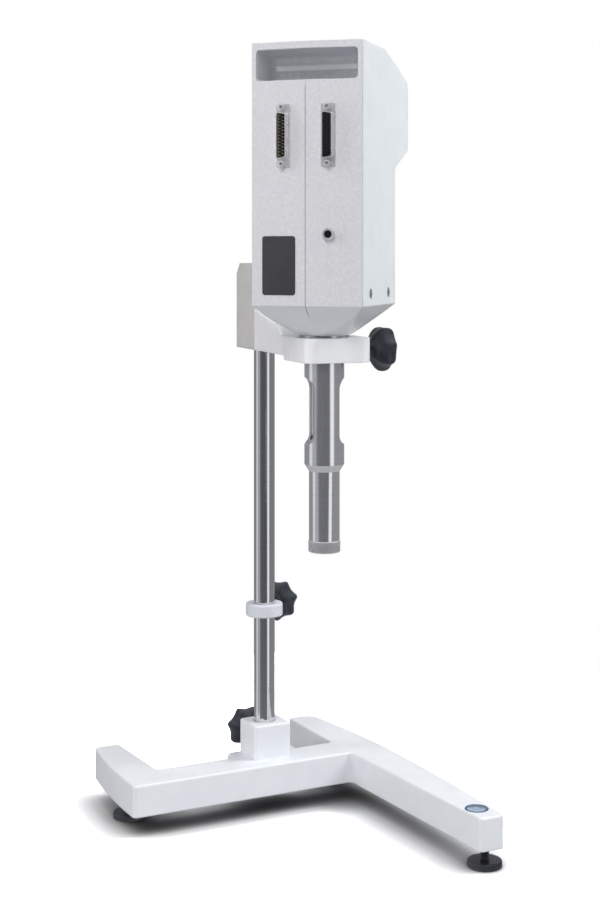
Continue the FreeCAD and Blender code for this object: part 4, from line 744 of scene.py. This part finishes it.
def stacked(outline_at, steps):
    """A row of points for each (inset, height) step: the outline at that inset, at that height."""
    rows = []
    for inset, height in steps:
        outline = outline_at(inset)
        rows.append(np.column_stack([outline, np.full(len(outline), height)]))
    return np.stack(rows)


def closed(sheet):
    """The same rows with a pole at each end, in the middle of the first row and of the last."""
    first = np.broadcast_to(sheet[:1].mean(axis=1, keepdims=True), sheet[:1].shape)
    last = np.broadcast_to(sheet[-1:].mean(axis=1, keepdims=True), sheet[-1:].shape)
    return np.concatenate([first, sheet, last])


def block_outline(half_width, half_length, corner):
    """An oblong with round corners, which an inset makes smaller all round."""
    def outline_at(inset):
        wide = half_width - inset
        long = half_length - inset
        return rounded([(-wide, -long), (wide, -long), (wide, long), (-wide, long)],
                       max(corner - inset, 0.05), 8)
    return outline_at


def rim_outline(inset):
    """The D outline, longer on its left side."""
    wide = rim_half - inset
    return rounded([(-wide, inset - rim_long), (wide, inset - rim_short),
                    (wide, rim_short - inset), (-wide, rim_long - inset)], rim_round - inset, 10)


def hexagon(half_flats, angle):
    """A hexagon's reach: half its width over the cosine of the angle off the nearest flat."""
    return half_flats / np.cos((angle + math.pi / 6) % (math.pi / 3) - math.pi / 6)


def jack_flats(reach, height, angle):
    """What lies outside the hexagon is cut off."""
    return np.minimum(reach, hexagon(jack_half_flats, angle))


contacts = [(side * contact_row, contact_pitch * (k - (ways - 1) / 2))
            for side, ways in ((-1, contacts_long), (1, contacts_short)) for k in range(ways)]
flange = closed(stacked(block_outline(flange_half_width, flange_half_length, flange_round),
                        flange_steps))
rim = stacked(rim_outline, rim_steps)
jack_inside = [(jack_hole - jack_groove * (k % 2), jack_groove_top - jack_groove_step * k)
               for k in range(jack_grooves)] + [(0, jack_hole_bottom)]
jack = lathe(jack_outside + jack_inside, 72, jack_flats)
pin = lathe(pin_rows, 16)
for name, side in (("dsub_left", -1), ("dsub_right", 1)):
    place = on_panel(connector_offset, connector_height, side)
    make_piece(name + "_housing", [put(flange, place), put(rim, place)], nickel, "head",
               "bright_zinc", name + "_shell")
    make_piece(name + "_screw_jacks",
               [put(jack + [0, end * jack_apart / 2, 0], place) for end in (-1, 1)],
               nickel, "head", "bright_zinc", name + "_jacks")
    dress(insulator, name + "_insert")
left_place = on_panel(connector_offset, connector_height, -1)
make_piece("dsub_left_contacts", [put(pin + [x, y, 0], left_place) for x, y in contacts], gold,
           "head", "contact_gold", "dsub_left_pins")

# Round supply socket: a threaded ring, nickel plated, that holds a black insert with one centre
# pin. It is screwed into the right rear panel under its connector.

socket_offset = 19.9
socket_height = 539.7
socket_thread = 0.75
socket_thread_depth = 0.36
socket_wall = 5.0
socket_rows = [(4.0, 0.0), (4.95, 0.0)] + [
    (socket_wall, z) for z in np.linspace(0.2, 4.2, 49)] + [
    (4.7, 4.5), (3.5, 4.5), (3.3, 4.3), (3.2, 1.3), (4.0, 1.2), (4.0, 0.0)]
insert_rows = [(0, 0.2), (4.0, 0.2), (4.0, 0.95), (3.9, 1.0), (1.2, 1.0), (1.0, 1.05),
               (1.0, 3.1), (0.8, 3.4), (0.4, 3.5), (0, 3.5)]


def socket_relief(reach, height, angle):
    """The thread is only on the rows of the outer wall."""
    wound = screw_thread(socket_thread, socket_thread_depth)(reach, height, angle)
    return np.where(reach == socket_wall, wound, reach)


socket_place = on_panel(socket_offset, socket_height, 1)
make_piece("supply_socket_ring", [put(lathe(socket_rows, 96, socket_relief), socket_place)],
           nickel, "head", "bright_zinc", "round_socket_shell")
make_piece("supply_socket_core", [put(lathe(insert_rows, 64), socket_place)], insulator, "head",
           "insulator", "round_socket_insert")

# Label plate: a bare plate of dark foil, bonded to the left rear panel near its lower end. Its
# corners are round, and a fine bevel runs round its face.

label_offset = 23.85
label_height = 513.6
label_half_width = 14.95
label_half_length = 24.7
label_round = 2.5
label_steps = [(0.0, 0.0), (0.0, 0.38), (0.06, 0.47), (0.14, 0.5), (1.0, 0.5)]
label_foil = finish("label foil", (56, 56, 59), (64, 64, 67), (0.34, 0.46), 1200.0, 0.008 * mm,
                    patches=30.0)
label = closed(stacked(block_outline(label_half_width, label_half_length, label_round),
                       label_steps))
make_piece("label_foil_plate", [put(label, on_panel(label_offset, label_height, -1))],
           label_foil, "head", "label_foil", "label_plate")

# Side screws: four countersunk screws of zinc-plated steel, flush in the side walls. They hold
# the front cover to the chassis, and each has a hexagon socket.

side_wall = 48.3
side_screw_height = 490.0
side_screws_along = (-24.0, 33.0)
side_half_flats = 1.25
side_rows = [(0, -2.2), (2.0, -2.2), (2.1, -2.1), (4.2, -0.05), (4.35, 0.0), (4.2, 0.05),
             (1.9, 0.05), (side_half_flats, 0.0), (side_half_flats, -1.2), (0, -1.5)]
screw_zinc = finish("zinc screws", (150, 157, 168), (170, 177, 187), (0.24, 0.36), 700.0,
                    0.006 * mm, metallic=0.6)


def hexagon_socket(reach, height, angle):
    """The rows of the socket's wall follow a hexagon."""
    return np.where(reach == side_half_flats, hexagon(side_half_flats, angle), reach)


side_screw = lathe(side_rows, 72, hexagon_socket)
screw_sheets = [put(side_screw, on_head(side_wall * side, along, side_screw_height, facing))
                for side, facing in ((-1, math.pi), (1, 0.0)) for along in side_screws_along]
make_piece("side_wall_screws", screw_sheets, screw_zinc, "head", "bright_zinc", "side_screws")

# Measuring tube, end cap and bob: polished stainless steel. The tube hangs from the neck, the bob
# turns in it behind its two windows, and the cap is screwed on below. The cap's rim is knurled
# by two crossed spirals of fine grooves, and painted shade darkens the floors of the grooves.

knurl_round = 48
knurl_pitch = 1.8
knurl_depth = 0.45
knurl_sharpness = 5
knurl_bottom = 268.1
knurl_top = 276.2
cap_radius = 13.8
# (height of the middle of the knurled stretch that the painted shade covers, half its length, its
# fade)
knurl_shade_stretch = (272.2, 4.3, 0.2)
groove_start = 13.76
groove_floor = 13.6
# Painted shade: the floors of the knurl's grooves are tinted this dark grey.
groove_painted_shade_grey = (76, 77, 80)
cap_rows = [(0, 268.0), (7.6, 268.0), (8.0, 267.7), (8.0, 267.3), (8.3, 267.0), (12.6, 267.0),
            (13.3, 267.25), (13.7, 267.8)] + [
            (cap_radius, z) for z in np.linspace(knurl_bottom, knurl_top, 66)] + [
            (13.7, 276.6), (13.3, 277.1), (12.8, 277.3), (12.05, 277.3), (12.05, 283.4),
            (11.6, 283.8), (0, 283.8)]


def knurled(reach, height, angle):
    """Grooves where either of two opposite spirals comes round, narrowed by a power."""
    round_rim = knurl_round * angle / (2 * math.pi)
    first = np.abs(2 * ((round_rim + height / knurl_pitch) % 1) - 1)
    second = np.abs(2 * ((round_rim - height / knurl_pitch) % 1) - 1)
    groove = knurl_depth * np.maximum(first, second) ** knurl_sharpness
    return np.where(reach == cap_radius, reach - groove, reach)


def painted_groove_shade_mask(material):
    """Painted shade: nought on the cap's rim and one in the grooves, by the distance from the head's
    axis.
    """
    tree = material.node_tree
    level = vector(tree, "MULTIPLY", from_head_axis(tree), (1, 1, 0))
    return between(tree, measured(tree, "LENGTH", level), groove_start * mm, groove_floor * mm)


tube_steel = finish("tube steel", (222, 223, 226), (232, 233, 236), (0.12, 0.16), 60.0,
                    0.0005 * mm, metallic=0.9, stretch=(0.3, 0.3, 30.0))
cap_steel = finish("knurled steel", (212, 213, 217), (226, 227, 231), (0.26, 0.34), 400.0,
                   0.004 * mm, metallic=0.45)
# Painted shade in the knurl's grooves, only over the knurled stretch.
tint(cap_steel, [painted_groove_shade_mask(cap_steel), head_mask(cap_steel, straight_up, *knurl_shade_stretch)],
     tone(groove_painted_shade_grey))
make_piece("knurled_cap", [put(lathe(cap_rows, 600, knurled), upright(head_x, head_y))],
           cap_steel, "end_cap", "polished_steel", "end_cap")
dress(tube_steel, "measuring_tube", "bob", "bob_shaft", "drive_shaft")

# Display and keys on the front of the hood: a smoked glass over a dark display cell, and five
# grey rubber keys with rounded rims, which press in through the hood's face.

key_pitch = 14.0
key_face = 101.8
key_height = 629.0
key_rows = [(0, -3.5), (5.9, -3.5), (5.9, -2.6), (4.8, -2.5), (4.8, 0.7), (4.65, 1.15),
            (4.3, 1.42), (3.8, 1.5), (2.6, 1.35), (1.2, 1.18), (0, 1.12)]
smoked = finish("smoked glass", (16, 19, 20), (22, 26, 27), (0.05, 0.09), 300.0, 0.002 * mm)
display_grey = finish("display cell", (70, 78, 72), (82, 90, 82), (0.4, 0.5), 700.0, 0.01 * mm)
key_rubber = finish("key rubber", (58, 61, 68), (68, 72, 80), (0.5, 0.65), 1500.0, 0.03 * mm)
dress(smoked, "display_window")
dress(display_grey, "display_module")
for number_of_key in range(1, 6):
    key = f"key_{number_of_key}"
    place = on_head(key_pitch * (number_of_key - 3), key_face, key_height, math.pi / 2)
    make_piece(f"key_cap_{number_of_key}", [put(lathe(key_rows, 72), place)], key_rubber, key,
               "key_rubber", key)

# Inside the head: the sheet aluminium chassis with the torque sensor, the gear motor in its
# mount and the coupling screwed to it, and the green circuit boards.

sheet_metal = finish("plain aluminium", (186, 188, 190), (202, 204, 206), (0.3, 0.42), 500.0,
                     0.01 * mm, metallic=1.0)
motor_steel = finish("motor steel", (110, 111, 114), (132, 133, 136), (0.3, 0.42), 500.0,
                     0.01 * mm, metallic=1.0)
board_green = finish("circuit board", (22, 78, 40), (30, 92, 50), (0.25, 0.35), 900.0,
                     0.01 * mm, patches=200.0)
dress(sheet_metal, "chassis", "torque_sensor", "motor_mount", "coupling")
dress(motor_steel, "gear_motor")
dress(board_green, "main_board", "interface_board", "key_board")
